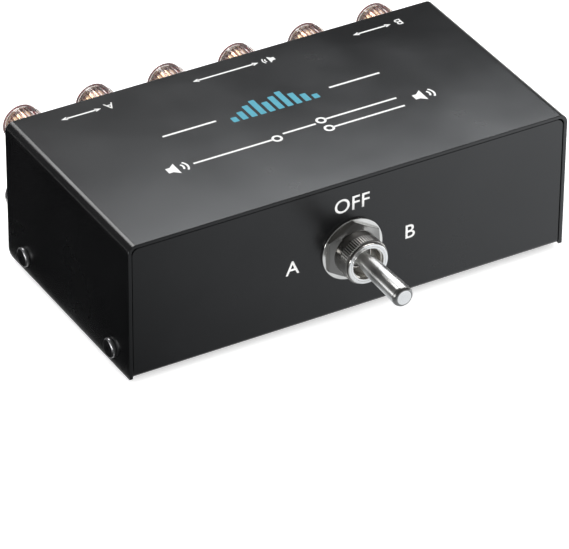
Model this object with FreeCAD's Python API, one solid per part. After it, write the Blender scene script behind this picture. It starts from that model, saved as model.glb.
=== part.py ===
"""Two-way speaker selector switch: steel box, 4-pole toggle, twelve binding posts.

Frame: +Z up, the front panel faces -Y, +X is to the right as seen from the front.
The parts are drawn with y = 0 at the front of the box and z = 0 at its underside,
and move() takes them to the row frame, whose origin is the bottom centre.
"""
import FreeCAD
import Part
import math
import os

from FreeCAD import Rotation, Vector

# ---- box -------------------------------------------------------------------
BOX_W = 145.0            # over the cover's sides
BOX_D = 75.0             # front to rear
BOX_H = 45.0             # without the feet
SHEET = 1.2              # steel sheet of cover and chassis
COVER_BEND = 3.0         # outer radius of the cover's two bends
CHASSIS_BEND = 1.6       # outer radius of the chassis bends
FIT_GAP = 0.3            # chassis to cover
PANEL_RECESS = 0.2       # panels sit this far inside the cover's cut edges
PANEL_CORNER = 2.2       # upper corners of the two panels
COVER_TOE = 2.5          # rounded lower rear corner of each cover side

# ---- cover screws and their nuts --------------------------------------------
SCREW_INSET_Y = 10.8     # from the front and from the rear
SCREW_Z = 5.0
SCREW_R = 1.5            # M3
SCREW_HOLE_R = 1.7
SCREW_HEAD_R = 3.05
SCREW_HEAD_H = 1.3
SCREW_LENGTH = 6.0
CROSS_WIDTH = 0.7
CROSS_LENGTH = 3.4
CROSS_DEPTH = 0.8
TAB_LENGTH = 14.0
TAB_HEIGHT = 11.0
CLINCH_R = 2.9
CLINCH_SHANK_R = 2.4
CLINCH_H = 1.6
THREAD_GAP = 0.05        # radial, between a screw thread and its nut

# ---- feet --------------------------------------------------------------------
FOOT_R = 6.0
FOOT_H = 2.0
FOOT_DRAFT = 0.4
FOOT_INSET_X = 11.5
FOOT_INSET_Y = 10.0

# ---- toggle: outside of the panel ---------------------------------------------
BUSHING_R = 5.95         # 12 mm threaded bushing
BUSHING_REACH = 8.6      # in front of the panel
BUSHING_WALL = 1.9
MOUTH_WALL = 1.25
PLAIN_WASHER_T = 0.8
PLAIN_WASHER_RIM = 3.95  # radial width
HEX_NUT_T = 1.8
HEX_NUT_RIM = 2.35       # bore to flat
HEX_CHAMFER = 0.45
DRESS_WALL = 1.1
DRESS_COLLAR = 2.8       # smooth lower band of the round dress nut
DRESS_KNURL = 3.5        # knurled band
DRESS_GROOVE = 0.25      # width of the groove behind the front ring
DRESS_GROOVE_DEPTH = 0.25  # below the front ring
DRESS_LIP = 0.55         # smooth front ring
DRESS_LIP_STEP = 0.55
DRESS_LIP_WALL = 1.6
KNURL_TEETH = 44
KNURL_DEPTH = 0.22

# ---- toggle: lever --------------------------------------------------------------
PIVOT_REACH = 2.2        # ball centre in front of the panel
BALL_GAP = 0.2
THROAT_STEP = 0.55
LEVER_REACH = 29.5       # tip in front of the panel
LEVER_TIP_R = 3.25
LEVER_TIP_ROUND = 0.75
LEVER_WAIST_R = 2.85     # where the bat starts
LEVER_WAIST_REACH = 10.9
LEVER_NECK_R = 1.9
LEVER_TAIL_R = 1.7
PIN_R = 0.8
PIN_GAP = 0.05
PIN_SHORT = 0.15         # the pin's ends below the thread

# ---- toggle: behind the panel ------------------------------------------------------
TOOTH_WASHER_T = 0.7
TOOTH_WASHER_RIM = 2.85
TOOTH_COUNT = 12
TOOTH_SLOT = 1.2
INNER_NUT_T = 2.0
FRAME_T = 0.8
FRAME_CLEAR = 0.4        # inner nut to switch frame
STRAP_W = 20.0
STRAP_BEND = 1.3
STRAP_TAB = 2.2
STAKE_R = 0.7            # rim of the bushing turned over behind the frame
BASE_HALF_W = 15.0
BASE_WALL = 1.8
BASE_DEPTH = 17.6
BASE_FLOOR = 2.8
POLE_PITCH = 7.5
POLE_MARGIN = 4.6        # outer pole to the outside of the base
RIB_T = 1.0
RIB_H = 4.2
CARRIAGE_HALF_W = 3.0
CARRIAGE_LENGTH = 7.7
CARRIAGE_FROM = 1.9      # below the frame
CARRIAGE_RIM = 0.6       # beyond the outer plungers
CARRIAGE_SOCKET = 2.6    # how deep the lever's tail sits in the carriage
POCKET_R = 1.9
POCKET_ROOF = 1.8
PLUNGER_R = 1.75
PLUNGER_STEM_R = 0.9
PLUNGER_TIP_R = 1.2
PLUNGER_HEAD = 0.7
PLUNGER_TIP = 2.4
SPRING_WIRE_R = 0.22
SPRING_COILS = 7
BLADE_T = 0.6
BLADE_GAP = 0.3          # plunger tip to blade
BLADE_HALF_L = 10.5
BLADE_W = 5.0
BLADE_LIP = 0.8
BLADE_LIP_T = 0.5
CRADLE_GAP = 0.2
ROCK_DEG = 7.0           # blade angle at full throw
CONTACT_X = 9.5
CONTACT_R = 1.3
CONTACT_H = 0.6
CONTACT_GAP = 0.25       # blade to contact at full throw
TERMINAL_T = 0.8
TERMINAL_W = 3.2
THROW_X = 11.4           # outer face line of the throw terminals
LUG_LENGTH = 7.0         # beyond the base

# ---- binding posts ------------------------------------------------------------------
COLUMNS = 6
COLUMN_EDGE = 12.5       # outer columns to the box's sides
ROW_EDGE = 10.0          # upper row to the panel's upper edge
ROW_FLOOR = 9.5          # lower row above the box's underside
SOCKET_R = 2.05          # bore for a 4 mm banana plug
SOCKET_DEPTH = 11.5
SOCKET_CHAMFER = 0.3
STUD_WALL = 0.95
STUD_REACH = 13.4
STUD_FLANGE_R = 3.8
STUD_FLANGE_T = 1.2
STUD_TAIL_R = 2.5        # M5 tail
WIRE_HOLE_R = 1.1        # cross hole for bare wire
WIRE_HOLE_AT = 2.3       # in front of the collar
STUD_TAIL = 9.5          # inside the box, from the panel's outer face
COLLAR_H = 2.9
COLLAR_STEP = 0.45       # collar is this much smaller than the cap
COLLAR_NECK_R = 3.9
NECK_GAP = 0.1
SEAT_GAP = 0.15          # cap to collar, screwed down
CAP_REACH = 15.4
CAP_R = 6.25
RUN_FIT = 0.05           # radial clearance of the turning pieces
INSERT_WALL = 1.15
INSERT_FLANGE = 0.25
INSERT_FLANGE_T = 0.6
MOUTH_R = 2.63
MOUTH_DEPTH = 1.6
MOUTH_CHAMFER = 0.35
GRIP_PROUD = 0.1         # metal ring stands this far in front of the plastic
GRIP_TEETH = 30
GRIP_TOOTH = 0.3
GRIP_RIM_FRONT = 2.2
GRIP_RIM_BACK = 1.4
GRIP_ROUND = 0.7
CAP_TRAVEL = 5.0         # unscrewing travel
INNER_WASHER_R = 5.6
INNER_WASHER_T = 1.5
TAG_T = 0.6
TAG_R = 4.1
TAG_W = 3.0
TAG_REACH = 8.5
SPRING_WASHER_T = 0.7
SPRING_WASHER_R = 4.2
POST_NUT_FLAT = 4.0      # axis to flat
POST_NUT_T = 2.8

# ---- wires -----------------------------------------------------------------------------
WIRE_R = 0.9
WIRE_LAYER = 2.2         # height step between the three wires of one pole
WIRE_LEAD = 0.19         # share of a wire's run that leaves straight, and that slopes

# ---- derived places ----------------------------------------------------------------------
PANEL_TOP = BOX_H - SHEET - FIT_GAP
CHASSIS_W = BOX_W - 2 * (SHEET + FIT_GAP)
FRONT_Y = PANEL_RECESS
REAR_Y = BOX_D - PANEL_RECESS
ROW_LOW = ROW_FLOOR
ROW_HIGH = PANEL_TOP - ROW_EDGE
AXIS_Z = (ROW_LOW + ROW_HIGH) / 2
COLUMN_PITCH = (BOX_W - 2 * COLUMN_EDGE) / (COLUMNS - 1)
COLUMN_X = [BOX_W / 2 - COLUMN_EDGE - i * COLUMN_PITCH for i in range(COLUMNS)]
SHIFT = Vector(0, -(FRONT_Y - LEVER_REACH + REAR_Y + CAP_REACH) / 2, FOOT_H)

# Stack behind the front panel, as distances from its outer face.
FRAME_AT = SHEET + TOOTH_WASHER_T + INNER_NUT_T + FRAME_CLEAR
BASE_AT = FRAME_AT + FRAME_T
FLOOR_AT = BASE_AT + BASE_DEPTH - BASE_FLOOR
CARRIAGE_AT = BASE_AT + CARRIAGE_FROM
CARRIAGE_END = CARRIAGE_AT + CARRIAGE_LENGTH
BASE_HALF_H = 1.5 * POLE_PITCH + POLE_MARGIN
POLES_Z = [AXIS_Z + POLE_PITCH * k for k in (1.5, 0.5, -0.5, -1.5)]
NUT_BORE_R = BUSHING_R + THREAD_GAP
SOCKET_BALL_R = BUSHING_R - BUSHING_WALL
BALL_R = SOCKET_BALL_R - BALL_GAP
STUD_R = SOCKET_R + STUD_WALL
INSERT_BORE_R = STUD_R + RUN_FIT
INSERT_R = INSERT_BORE_R + INSERT_WALL
TAIL_BORE_R = STUD_TAIL_R + THREAD_GAP

NODES = {}


# ---- helpers --------------------------------------------------------------------------------
def outline(points):
    """Closed wire in the XZ plane from (x, z) or (x, z, corner radius) points."""
    count = len(points)
    flat = [Vector(p[0], 0, p[1]) for p in points]
    radii = [p[2] if len(p) > 2 else 0.0 for p in points]
    starts, ends, arcs = [], [], []
    for i, corner in enumerate(flat):
        if radii[i] <= 0:
            starts.append(corner)
            ends.append(corner)
            arcs.append(None)
            continue
        back = (flat[i - 1] - corner).normalize()
        ahead = (flat[(i + 1) % count] - corner).normalize()
        half = back.getAngle(ahead) / 2
        reach = radii[i] / math.tan(half)
        middle = (back + ahead).normalize()
        centre = corner + middle * (radii[i] / math.sin(half))
        starts.append(corner + back * reach)
        ends.append(corner + ahead * reach)
        arcs.append(centre - middle * radii[i])
    edges = []
    for i in range(count):
        if arcs[i] is not None:
            edges.append(Part.Arc(starts[i], arcs[i], ends[i]).toShape())
        following = starts[(i + 1) % count]
        if (following - ends[i]).Length > 1e-7:
            edges.append(Part.makeLine(ends[i], following))
    return Part.Wire(edges)


def prism(points, length, y=0.0):
    """Outline in XZ, extruded along +Y from y."""
    solid = Part.Face(outline(points)).extrude(Vector(0, length, 0))
    solid.translate(Vector(0, y, 0))
    return solid


def prism_z(points, height, z=0.0):
    """Outline of (x, y) points, extruded along +Z from z."""
    face = Part.Face(outline(points))
    face.rotate(Vector(0, 0, 0), Vector(1, 0, 0), -90)
    solid = face.extrude(Vector(0, 0, height))
    solid.translate(Vector(0, 0, z))
    return solid


def turned(points):
    """Solid turned about the local Z axis from (radius, height) points."""
    return Part.Face(outline(points)).revolve(Vector(0, 0, 0), Vector(0, 0, 1), 360)


def tube(outer, inner, low, high):
    """Plain ring about the local Z axis."""
    return turned([(inner, low), (outer, low), (outer, high), (inner, high)])


def star(radius, depth, teeth, low, high):
    """Toothed prism about the local Z axis, for knurled bands."""
    points = []
    for i in range(2 * teeth):
        angle = math.pi * i / teeth
        reach = radius - depth * (i % 2)
        points.append(Vector(reach * math.cos(angle), reach * math.sin(angle), low))
    wire = Part.makePolygon(points + points[:1])
    return Part.Face(wire).extrude(Vector(0, 0, high - low))


def hexagon(flat, low, high):
    """Hexagonal prism about the local Z axis, flat = axis to flat."""
    corner = flat / math.cos(math.pi / 6)
    points = [Vector(corner * math.sin(math.pi * k / 3), corner * math.cos(math.pi * k / 3), low)
              for k in range(6)]
    return Part.Face(Part.makePolygon(points + points[:1])).extrude(Vector(0, 0, high - low))


def block(x0, x1, y0, y1, z0, z1):
    return Part.makeBox(x1 - x0, y1 - y0, z1 - z0, Vector(x0, y0, z0))


def on_axis(shape, origin, direction):
    """Copy of a local-Z shape with its axis on direction, from origin."""
    copy = shape.copy()
    place = FreeCAD.Placement(origin, Rotation(Vector(0, 0, 1), direction))
    copy.Placement = place.multiply(shape.Placement)
    return copy


def on_front(shape):
    """Local-Z shape to the toggle's axis: height 0 is the front panel's outer face."""
    return on_axis(shape, Vector(0, FRONT_Y, AXIS_Z), Vector(0, -1, 0))


def on_rear(shape, x, z):
    """Local-Z shape to a post's axis: height 0 is the rear panel's outer face."""
    return on_axis(shape, Vector(x, REAR_Y, z), Vector(0, 1, 0))


def keep(name, solids):
    """Register one node: a solid or a group of separate solids."""
    parts = solids if isinstance(solids, list) else [solids]
    parts = [s.removeSplitter() if s.ShapeType == "Solid" else s for s in parts]
    NODES[name] = parts[0] if len(parts) == 1 else Part.makeCompound(parts)


def behind(distance):
    """Row of depth: y of a plane this far behind the front panel's outer face."""
    return FRONT_Y + distance


# ---- box --------------------------------------------------------------------------------------
def screw_places():
    """(side, y) of the four cover screws."""
    return [(side, y) for side in (-1, 1) for y in (SCREW_INSET_Y, BOX_D - SCREW_INSET_Y)]


def make_chassis():
    """Bottom, front and rear panel bent from one sheet, with four side tabs."""
    near, far = FRONT_Y, REAR_Y
    profile = [(near, PANEL_TOP), (near, 0, CHASSIS_BEND), (far, 0, CHASSIS_BEND),
               (far, PANEL_TOP), (far - SHEET, PANEL_TOP),
               (far - SHEET, SHEET, CHASSIS_BEND - SHEET),
               (near + SHEET, SHEET, CHASSIS_BEND - SHEET), (near + SHEET, PANEL_TOP)]
    bent = Part.Face(outline(profile)).extrude(Vector(0, CHASSIS_W, 0))
    bent.rotate(Vector(0, 0, 0), Vector(0, 0, 1), 90)
    bent.translate(Vector(CHASSIS_W / 2, 0, 0))
    half = CHASSIS_W / 2
    panel = [(-half, 0), (half, 0), (half, PANEL_TOP, PANEL_CORNER), (-half, PANEL_TOP, PANEL_CORNER)]
    solid = bent.common(prism(panel, BOX_D))
    for side, y in screw_places():
        edge = side * half
        inner = side * (half - SHEET)
        root = side * (half - CHASSIS_BEND - SHEET)
        corner = block(min(edge, root), max(edge, root), y - TAB_LENGTH / 2, y + TAB_LENGTH / 2,
                       0, SHEET)
        bend = [(root, 0), (edge, 0, CHASSIS_BEND), (edge, TAB_HEIGHT), (inner, TAB_HEIGHT),
                (inner, SHEET, CHASSIS_BEND - SHEET), (root, SHEET)]
        tab = prism(bend, TAB_LENGTH, y - TAB_LENGTH / 2)
        hole = on_axis(Part.makeCylinder(CLINCH_SHANK_R, 4 * SHEET),
                       Vector(side * (half - 2 * SHEET), y, SCREW_Z), Vector(side, 0, 0))
        solid = solid.cut(corner).fuse(tab).cut(hole)
    hole = on_front(Part.makeCylinder(NUT_BORE_R, 4 * SHEET, Vector(0, 0, -2 * SHEET)))
    solid = solid.cut(hole)
    for x in COLUMN_X:
        for z in (ROW_LOW, ROW_HIGH):
            hole = Part.makeCylinder(COLLAR_NECK_R + NECK_GAP, 4 * SHEET, Vector(0, 0, -2 * SHEET))
            solid = solid.cut(on_rear(hole, x, z))
    keep("chassis", solid)


def make_cover():
    """Top and two sides bent from one sheet."""
    half = BOX_W / 2
    inner = half - SHEET
    roof = BOX_H - SHEET
    profile = [(-half, 0), (-half, BOX_H, COVER_BEND), (half, BOX_H, COVER_BEND), (half, 0),
               (inner, 0), (inner, roof, COVER_BEND - SHEET), (-inner, roof, COVER_BEND - SHEET),
               (-inner, 0)]
    solid = prism(profile, BOX_D)
    side = [(0, 0), (BOX_D, 0, COVER_TOE), (BOX_D, BOX_H), (0, BOX_H)]
    trim = Part.Face(outline(side)).extrude(Vector(0, BOX_W, 0))
    trim.rotate(Vector(0, 0, 0), Vector(0, 0, 1), 90)
    trim.translate(Vector(half, 0, 0))
    solid = solid.common(trim)
    for flank, y in screw_places():
        hole = on_axis(Part.makeCylinder(SCREW_HOLE_R, 4 * SHEET),
                       Vector(flank * (half - 2 * SHEET), y, SCREW_Z), Vector(flank, 0, 0))
        solid = solid.cut(hole)
    keep("cover", solid)


def make_cover_screws():
    """Four M3 pan-head screws and the clinch nuts they run in."""
    head = turned([(0, -SCREW_LENGTH), (SCREW_R, -SCREW_LENGTH), (SCREW_R, 0), (SCREW_HEAD_R, 0),
                   (SCREW_HEAD_R, SCREW_HEAD_H, SCREW_HEAD_H * 0.7), (0, SCREW_HEAD_H)])
    for turn in (0, 90):
        slot = block(-CROSS_LENGTH / 2, CROSS_LENGTH / 2, -CROSS_WIDTH / 2, CROSS_WIDTH / 2,
                     SCREW_HEAD_H - CROSS_DEPTH, SCREW_HEAD_H + 1)
        slot.rotate(Vector(0, 0, 0), Vector(0, 0, 1), turn)
        head = head.cut(slot)
    tab_outer = CHASSIS_W / 2
    bore = SCREW_R + THREAD_GAP
    nut = turned([(bore, -SHEET - CLINCH_H), (CLINCH_R, -SHEET - CLINCH_H), (CLINCH_R, -SHEET),
                  (CLINCH_SHANK_R, -SHEET), (CLINCH_SHANK_R, 0), (bore, 0)])
    screws, nuts = [], []
    for side, y in screw_places():
        out = Vector(side, 0, 0)
        screws.append(on_axis(head, Vector(side * BOX_W / 2, y, SCREW_Z), out))
        nuts.append(on_axis(nut, Vector(side * tab_outer, y, SCREW_Z), out))
    keep("cover_screws", screws)
    keep("clinch_nuts", nuts)


def make_feet():
    """Four moulded rubber feet under the chassis."""
    foot = turned([(0, -FOOT_H), (FOOT_R - FOOT_DRAFT, -FOOT_H, 0.5), (FOOT_R, 0), (0, 0)])
    feet = []
    for x in (FOOT_INSET_X - BOX_W / 2, BOX_W / 2 - FOOT_INSET_X):
        for y in (FOOT_INSET_Y, BOX_D - FOOT_INSET_Y):
            feet.append(on_axis(foot, Vector(x, y, 0), Vector(0, 0, 1)))
    keep("rubber_feet", feet)


# ---- toggle -------------------------------------------------------------------------------------
def make_panel_hardware():
    """Washers and nuts that clamp the bushing in the front panel."""
    washer = turned([(NUT_BORE_R, 0), (NUT_BORE_R + PLAIN_WASHER_RIM, 0),
                     (NUT_BORE_R + PLAIN_WASHER_RIM, PLAIN_WASHER_T, 0.25),
                     (NUT_BORE_R, PLAIN_WASHER_T)])
    keep("plain_washer", on_front(washer))

    low = PLAIN_WASHER_T
    high = low + HEX_NUT_T
    flat = NUT_BORE_R + HEX_NUT_RIM
    corner = flat / math.cos(math.pi / 6)
    shaved = turned([(NUT_BORE_R, low), (corner + 0.1, low), (corner + 0.1, high - HEX_CHAMFER - 0.05),
                     (flat - 0.1, high), (NUT_BORE_R, high)])
    keep("hex_nut", on_front(hexagon(flat, low, high).common(shaved)))

    base = high
    knurl = base + DRESS_COLLAR
    step = knurl + DRESS_KNURL
    rise = step + DRESS_GROOVE
    front = rise + DRESS_LIP
    outer = NUT_BORE_R + DRESS_WALL
    lip = outer - DRESS_LIP_STEP
    groove = lip - DRESS_GROOVE_DEPTH
    collar = turned([(NUT_BORE_R, base), (outer - 0.15, base), (outer - 0.15, knurl), (NUT_BORE_R, knurl)])
    band = star(outer, KNURL_DEPTH, KNURL_TEETH, knurl, step)
    band = band.cut(Part.makeCylinder(NUT_BORE_R, DRESS_KNURL, Vector(0, 0, knurl)))
    ring = turned([(lip - DRESS_LIP_WALL, step), (groove, step), (groove, rise), (lip, rise),
                   (lip, front, 0.2), (lip - DRESS_LIP_WALL, front, 0.2)])
    keep("dress_nut", on_front(collar.fuse(band).fuse(ring)))

    outer = NUT_BORE_R + TOOTH_WASHER_RIM
    washer = tube(outer, NUT_BORE_R, -SHEET - TOOTH_WASHER_T, -SHEET)
    for k in range(TOOTH_COUNT):
        slot = block(outer - 1.4, outer + 1, -TOOTH_SLOT / 2, TOOTH_SLOT / 2,
                     -SHEET - TOOTH_WASHER_T - 1, -SHEET + 1)
        slot.rotate(Vector(0, 0, 0), Vector(0, 0, 1), 360.0 * k / TOOTH_COUNT)
        washer = washer.cut(slot)
    keep("tooth_washer", on_front(washer))

    high = -SHEET - TOOTH_WASHER_T
    nut = hexagon(flat, high - INNER_NUT_T, high)
    nut = nut.cut(Part.makeCylinder(NUT_BORE_R, INNER_NUT_T, Vector(0, 0, high - INNER_NUT_T)))
    keep("inner_nut", on_front(nut))


def make_bushing():
    """Threaded bushing with a ball seat, staked into the switch frame."""
    throat = SOCKET_BALL_R - THROAT_STEP
    throat_at = PIVOT_REACH + math.sqrt(SOCKET_BALL_R ** 2 - throat ** 2)
    mouth = BUSHING_R - MOUTH_WALL
    under = -FRAME_AT - FRAME_T
    body = turned([(SOCKET_BALL_R, under - STAKE_R), (BUSHING_R + STAKE_R, under - STAKE_R),
                   (BUSHING_R + STAKE_R, under), (BUSHING_R, under),
                   (BUSHING_R, BUSHING_REACH, 0.4), (mouth, BUSHING_REACH),
                   (throat, throat_at), (throat, PIVOT_REACH), (SOCKET_BALL_R, PIVOT_REACH)])
    seat = Part.makeSphere(SOCKET_BALL_R, Vector(0, 0, PIVOT_REACH))
    body = body.cut(seat)
    cross = on_axis(Part.makeCylinder(PIN_R, 4 * BUSHING_R),
                    Vector(0, -2 * BUSHING_R, PIVOT_REACH), Vector(0, 1, 0))
    keep("toggle_bushing", on_front(body.cut(cross)))
    reach = BUSHING_R - PIN_SHORT
    pin = on_axis(Part.makeCylinder(PIN_R, 2 * reach), Vector(0, -reach, PIVOT_REACH), Vector(0, 1, 0))
    keep("pivot_pin", on_front(pin))


def make_lever():
    """Bat lever: tip, neck, ball with a cross bore, and the tail into the carriage."""
    neck_at = PIVOT_REACH + math.sqrt(BALL_R ** 2 - LEVER_NECK_R ** 2) - 0.2
    tail_end = -CARRIAGE_AT - CARRIAGE_SOCKET
    bat = turned([(0, neck_at), (LEVER_NECK_R, neck_at), (LEVER_NECK_R, neck_at + 0.8),
                  (LEVER_WAIST_R, LEVER_WAIST_REACH, 3.0), (LEVER_TIP_R, LEVER_REACH, LEVER_TIP_ROUND),
                  (0, LEVER_REACH)])
    tail = turned([(0, tail_end), (LEVER_TAIL_R, tail_end, 0.3), (LEVER_TAIL_R, PIVOT_REACH),
                   (0, PIVOT_REACH)])
    ball = Part.makeSphere(BALL_R, Vector(0, 0, PIVOT_REACH))
    lever = bat.fuse(ball).fuse(tail)
    cross = on_axis(Part.makeCylinder(PIN_R + PIN_GAP, 4 * BALL_R),
                    Vector(0, -2 * BALL_R, PIVOT_REACH), Vector(0, 1, 0))
    keep("toggle_lever", on_front(lever.cut(cross)))


def make_switch_frame():
    """Steel frame over the switch base, its tabs crimped behind the base."""
    out = BASE_HALF_W + FRAME_T
    top, foot = behind(FRAME_AT), behind(BASE_AT + BASE_DEPTH)
    inner = STRAP_BEND - FRAME_T
    strap = [(-out, top, STRAP_BEND), (out, top, STRAP_BEND), (out, foot + FRAME_T, STRAP_BEND),
             (BASE_HALF_W - STRAP_TAB, foot + FRAME_T), (BASE_HALF_W - STRAP_TAB, foot),
             (BASE_HALF_W, foot, inner), (BASE_HALF_W, top + FRAME_T, inner),
             (-BASE_HALF_W, top + FRAME_T, inner), (-BASE_HALF_W, foot, inner),
             (STRAP_TAB - BASE_HALF_W, foot), (STRAP_TAB - BASE_HALF_W, foot + FRAME_T),
             (-out, foot + FRAME_T, STRAP_BEND)]
    strap = prism_z(strap, STRAP_W, AXIS_Z - STRAP_W / 2)
    plate = block(STRAP_BEND - out, out - STRAP_BEND, top, top + FRAME_T,
                  AXIS_Z - BASE_HALF_H, AXIS_Z + BASE_HALF_H)
    hole = on_front(Part.makeCylinder(BUSHING_R, 3 * FRAME_T, Vector(0, 0, -FRAME_AT - 2 * FRAME_T)))
    keep("switch_frame", strap.fuse(plate).cut(hole))


def make_switch_base():
    """Moulded base: walls, ribs between the poles and slots for the terminals."""
    corner = STRAP_BEND - FRAME_T
    low, high = AXIS_Z - BASE_HALF_H, AXIS_Z + BASE_HALF_H
    top, foot = behind(BASE_AT), behind(BASE_AT + BASE_DEPTH)
    shell = prism_z([(-BASE_HALF_W, top, corner), (BASE_HALF_W, top, corner),
                     (BASE_HALF_W, foot, corner), (-BASE_HALF_W, foot, corner)], high - low, low)
    room = BASE_HALF_W - BASE_WALL
    shell = shell.cut(block(-room, room, top - 1, behind(FLOOR_AT), low + BASE_WALL, high - BASE_WALL))
    for upper, lower in zip(POLES_Z, POLES_Z[1:]):
        middle = (upper + lower) / 2
        rib = block(-room, room, behind(FLOOR_AT) - RIB_H, behind(FLOOR_AT),
                    middle - RIB_T / 2, middle + RIB_T / 2)
        shell = shell.fuse(rib)
    for z in POLES_Z:
        for x in (-THROW_X, -TERMINAL_T / 2, THROW_X - TERMINAL_T):
            slot = block(x, x + TERMINAL_T, behind(FLOOR_AT) - 1, foot + 1,
                         z - TERMINAL_W / 2, z + TERMINAL_W / 2)
            shell = shell.cut(slot)
    keep("switch_base", shell)


def blade_plane():
    """Distance of the blades' plunger side behind the panel."""
    return CARRIAGE_END + PLUNGER_HEAD + PLUNGER_TIP - POCKET_ROOF + BLADE_GAP


def pivot_plane():
    """Distance of the line on which the blades rock."""
    return blade_plane() + BLADE_T + CRADLE_GAP


def make_carriage():
    """Nylon carriage on the lever's tail, with a spring plunger for each pole."""
    low = POLES_Z[-1] - POCKET_R - CARRIAGE_RIM
    high = POLES_Z[0] + POCKET_R + CARRIAGE_RIM
    body = prism_z([(-CARRIAGE_HALF_W, behind(CARRIAGE_AT), 0.6),
                    (CARRIAGE_HALF_W, behind(CARRIAGE_AT), 0.6),
                    (CARRIAGE_HALF_W, behind(CARRIAGE_END)),
                    (-CARRIAGE_HALF_W, behind(CARRIAGE_END))], high - low, low)
    socket = Part.makeCylinder(LEVER_TAIL_R, CARRIAGE_SOCKET + 1,
                               Vector(0, 0, -CARRIAGE_AT - CARRIAGE_SOCKET))
    body = body.cut(on_front(socket))
    roof = CARRIAGE_AT + POCKET_ROOF
    plungers, springs = [], []
    shoulder = CARRIAGE_END - POCKET_ROOF
    tip = shoulder + PLUNGER_HEAD + PLUNGER_TIP
    plunger = turned([(0, -roof - 1.0), (PLUNGER_STEM_R, -roof - 1.0), (PLUNGER_STEM_R, -shoulder),
                      (PLUNGER_R, -shoulder), (PLUNGER_R, -shoulder - PLUNGER_HEAD),
                      (PLUNGER_TIP_R, -shoulder - PLUNGER_HEAD), (PLUNGER_TIP_R, -tip, 0.9), (0, -tip)])
    for z in POLES_Z:
        axis = (Vector(0, FRONT_Y, z), Vector(0, -1, 0))
        pocket = Part.makeCylinder(POCKET_R, CARRIAGE_END - roof + 1, Vector(0, 0, -CARRIAGE_END - 1))
        body = body.cut(on_axis(pocket, *axis))
        plungers.append(on_axis(plunger, *axis))
        springs.append(on_axis(coil(-shoulder, -roof), *axis))
    keep("lever_carriage", body)
    keep("contact_plungers", plungers)
    keep("plunger_springs", springs)


def coil(low, high):
    """Closed spring drawn as its coils, each a ring that touches the next."""
    pitch = (high - low) / SPRING_COILS
    mean = POCKET_R - 0.1 - SPRING_WIRE_R
    inner, outer = mean - SPRING_WIRE_R, mean + SPRING_WIRE_R
    points = [(inner, low), (outer - 0.12, low)]
    for k in range(SPRING_COILS):
        base = low + k * pitch
        points += [(outer, base + pitch / 2), (outer - 0.12, base + pitch)]
    return turned(points + [(inner, high)])


def make_contacts():
    """Rocking blades, their cradles on the common terminals, and the throw contacts."""
    at, pivot = blade_plane(), pivot_plane()
    foot = BASE_AT + BASE_DEPTH + LUG_LENGTH
    blades, commons, throws, buttons = [], [], [], []
    rock = math.radians(ROCK_DEG)
    drop = CONTACT_X * math.sin(rock) - CRADLE_GAP * math.cos(rock)
    contact = pivot + drop + CONTACT_GAP
    for z in POLES_Z:
        low, high = z - BLADE_W / 2, z + BLADE_W / 2
        blade = block(-BLADE_HALF_L, BLADE_HALF_L, behind(at), behind(at + BLADE_T), low, high)
        for side in (-1, 1):
            near = side * (TERMINAL_T / 2 + 0.6)
            outer = near + side * BLADE_LIP_T
            lip = block(min(near, outer), max(near, outer), behind(at + BLADE_T),
                        behind(at + BLADE_T + BLADE_LIP), low, high)
            blade = blade.fuse(lip)
        blades.append(blade)
        half = TERMINAL_W / 2
        cradle = prism_z([(-TERMINAL_T / 2, behind(pivot), TERMINAL_T * 0.45),
                          (TERMINAL_T / 2, behind(pivot), TERMINAL_T * 0.45),
                          (TERMINAL_T / 2, behind(foot)), (-TERMINAL_T / 2, behind(foot))],
                         TERMINAL_W, z - half)
        commons.append(cradle)
        for side in (-1, 1):
            rest = contact + CONTACT_H
            shelf = FLOOR_AT
            inner = side * (CONTACT_X - CONTACT_R)
            outer = side * THROW_X
            wall = side * (THROW_X - TERMINAL_T)
            tab = block(min(inner, outer), max(inner, outer), behind(rest), behind(shelf),
                        z - half, z + half)
            lug = block(min(wall, outer), max(wall, outer), behind(shelf), behind(foot),
                        z - half, z + half)
            throws.append(tab.fuse(lug))
            buttons.append(on_axis(Part.makeCylinder(CONTACT_R, CONTACT_H),
                                   Vector(side * CONTACT_X, behind(contact), z), Vector(0, 1, 0)))
    keep("rocker_blades", blades)
    keep("common_terminals", commons)
    keep("throw_terminals", throws)
    keep("contact_buttons", buttons)


# ---- binding posts ------------------------------------------------------------------------------
def posts():
    """(number, x, z) of the twelve posts: upper row first, from +X to -X."""
    places = []
    for z in (ROW_HIGH, ROW_LOW):
        for x in COLUMN_X:
            places.append((len(places) + 1, x, z))
    return places


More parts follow.
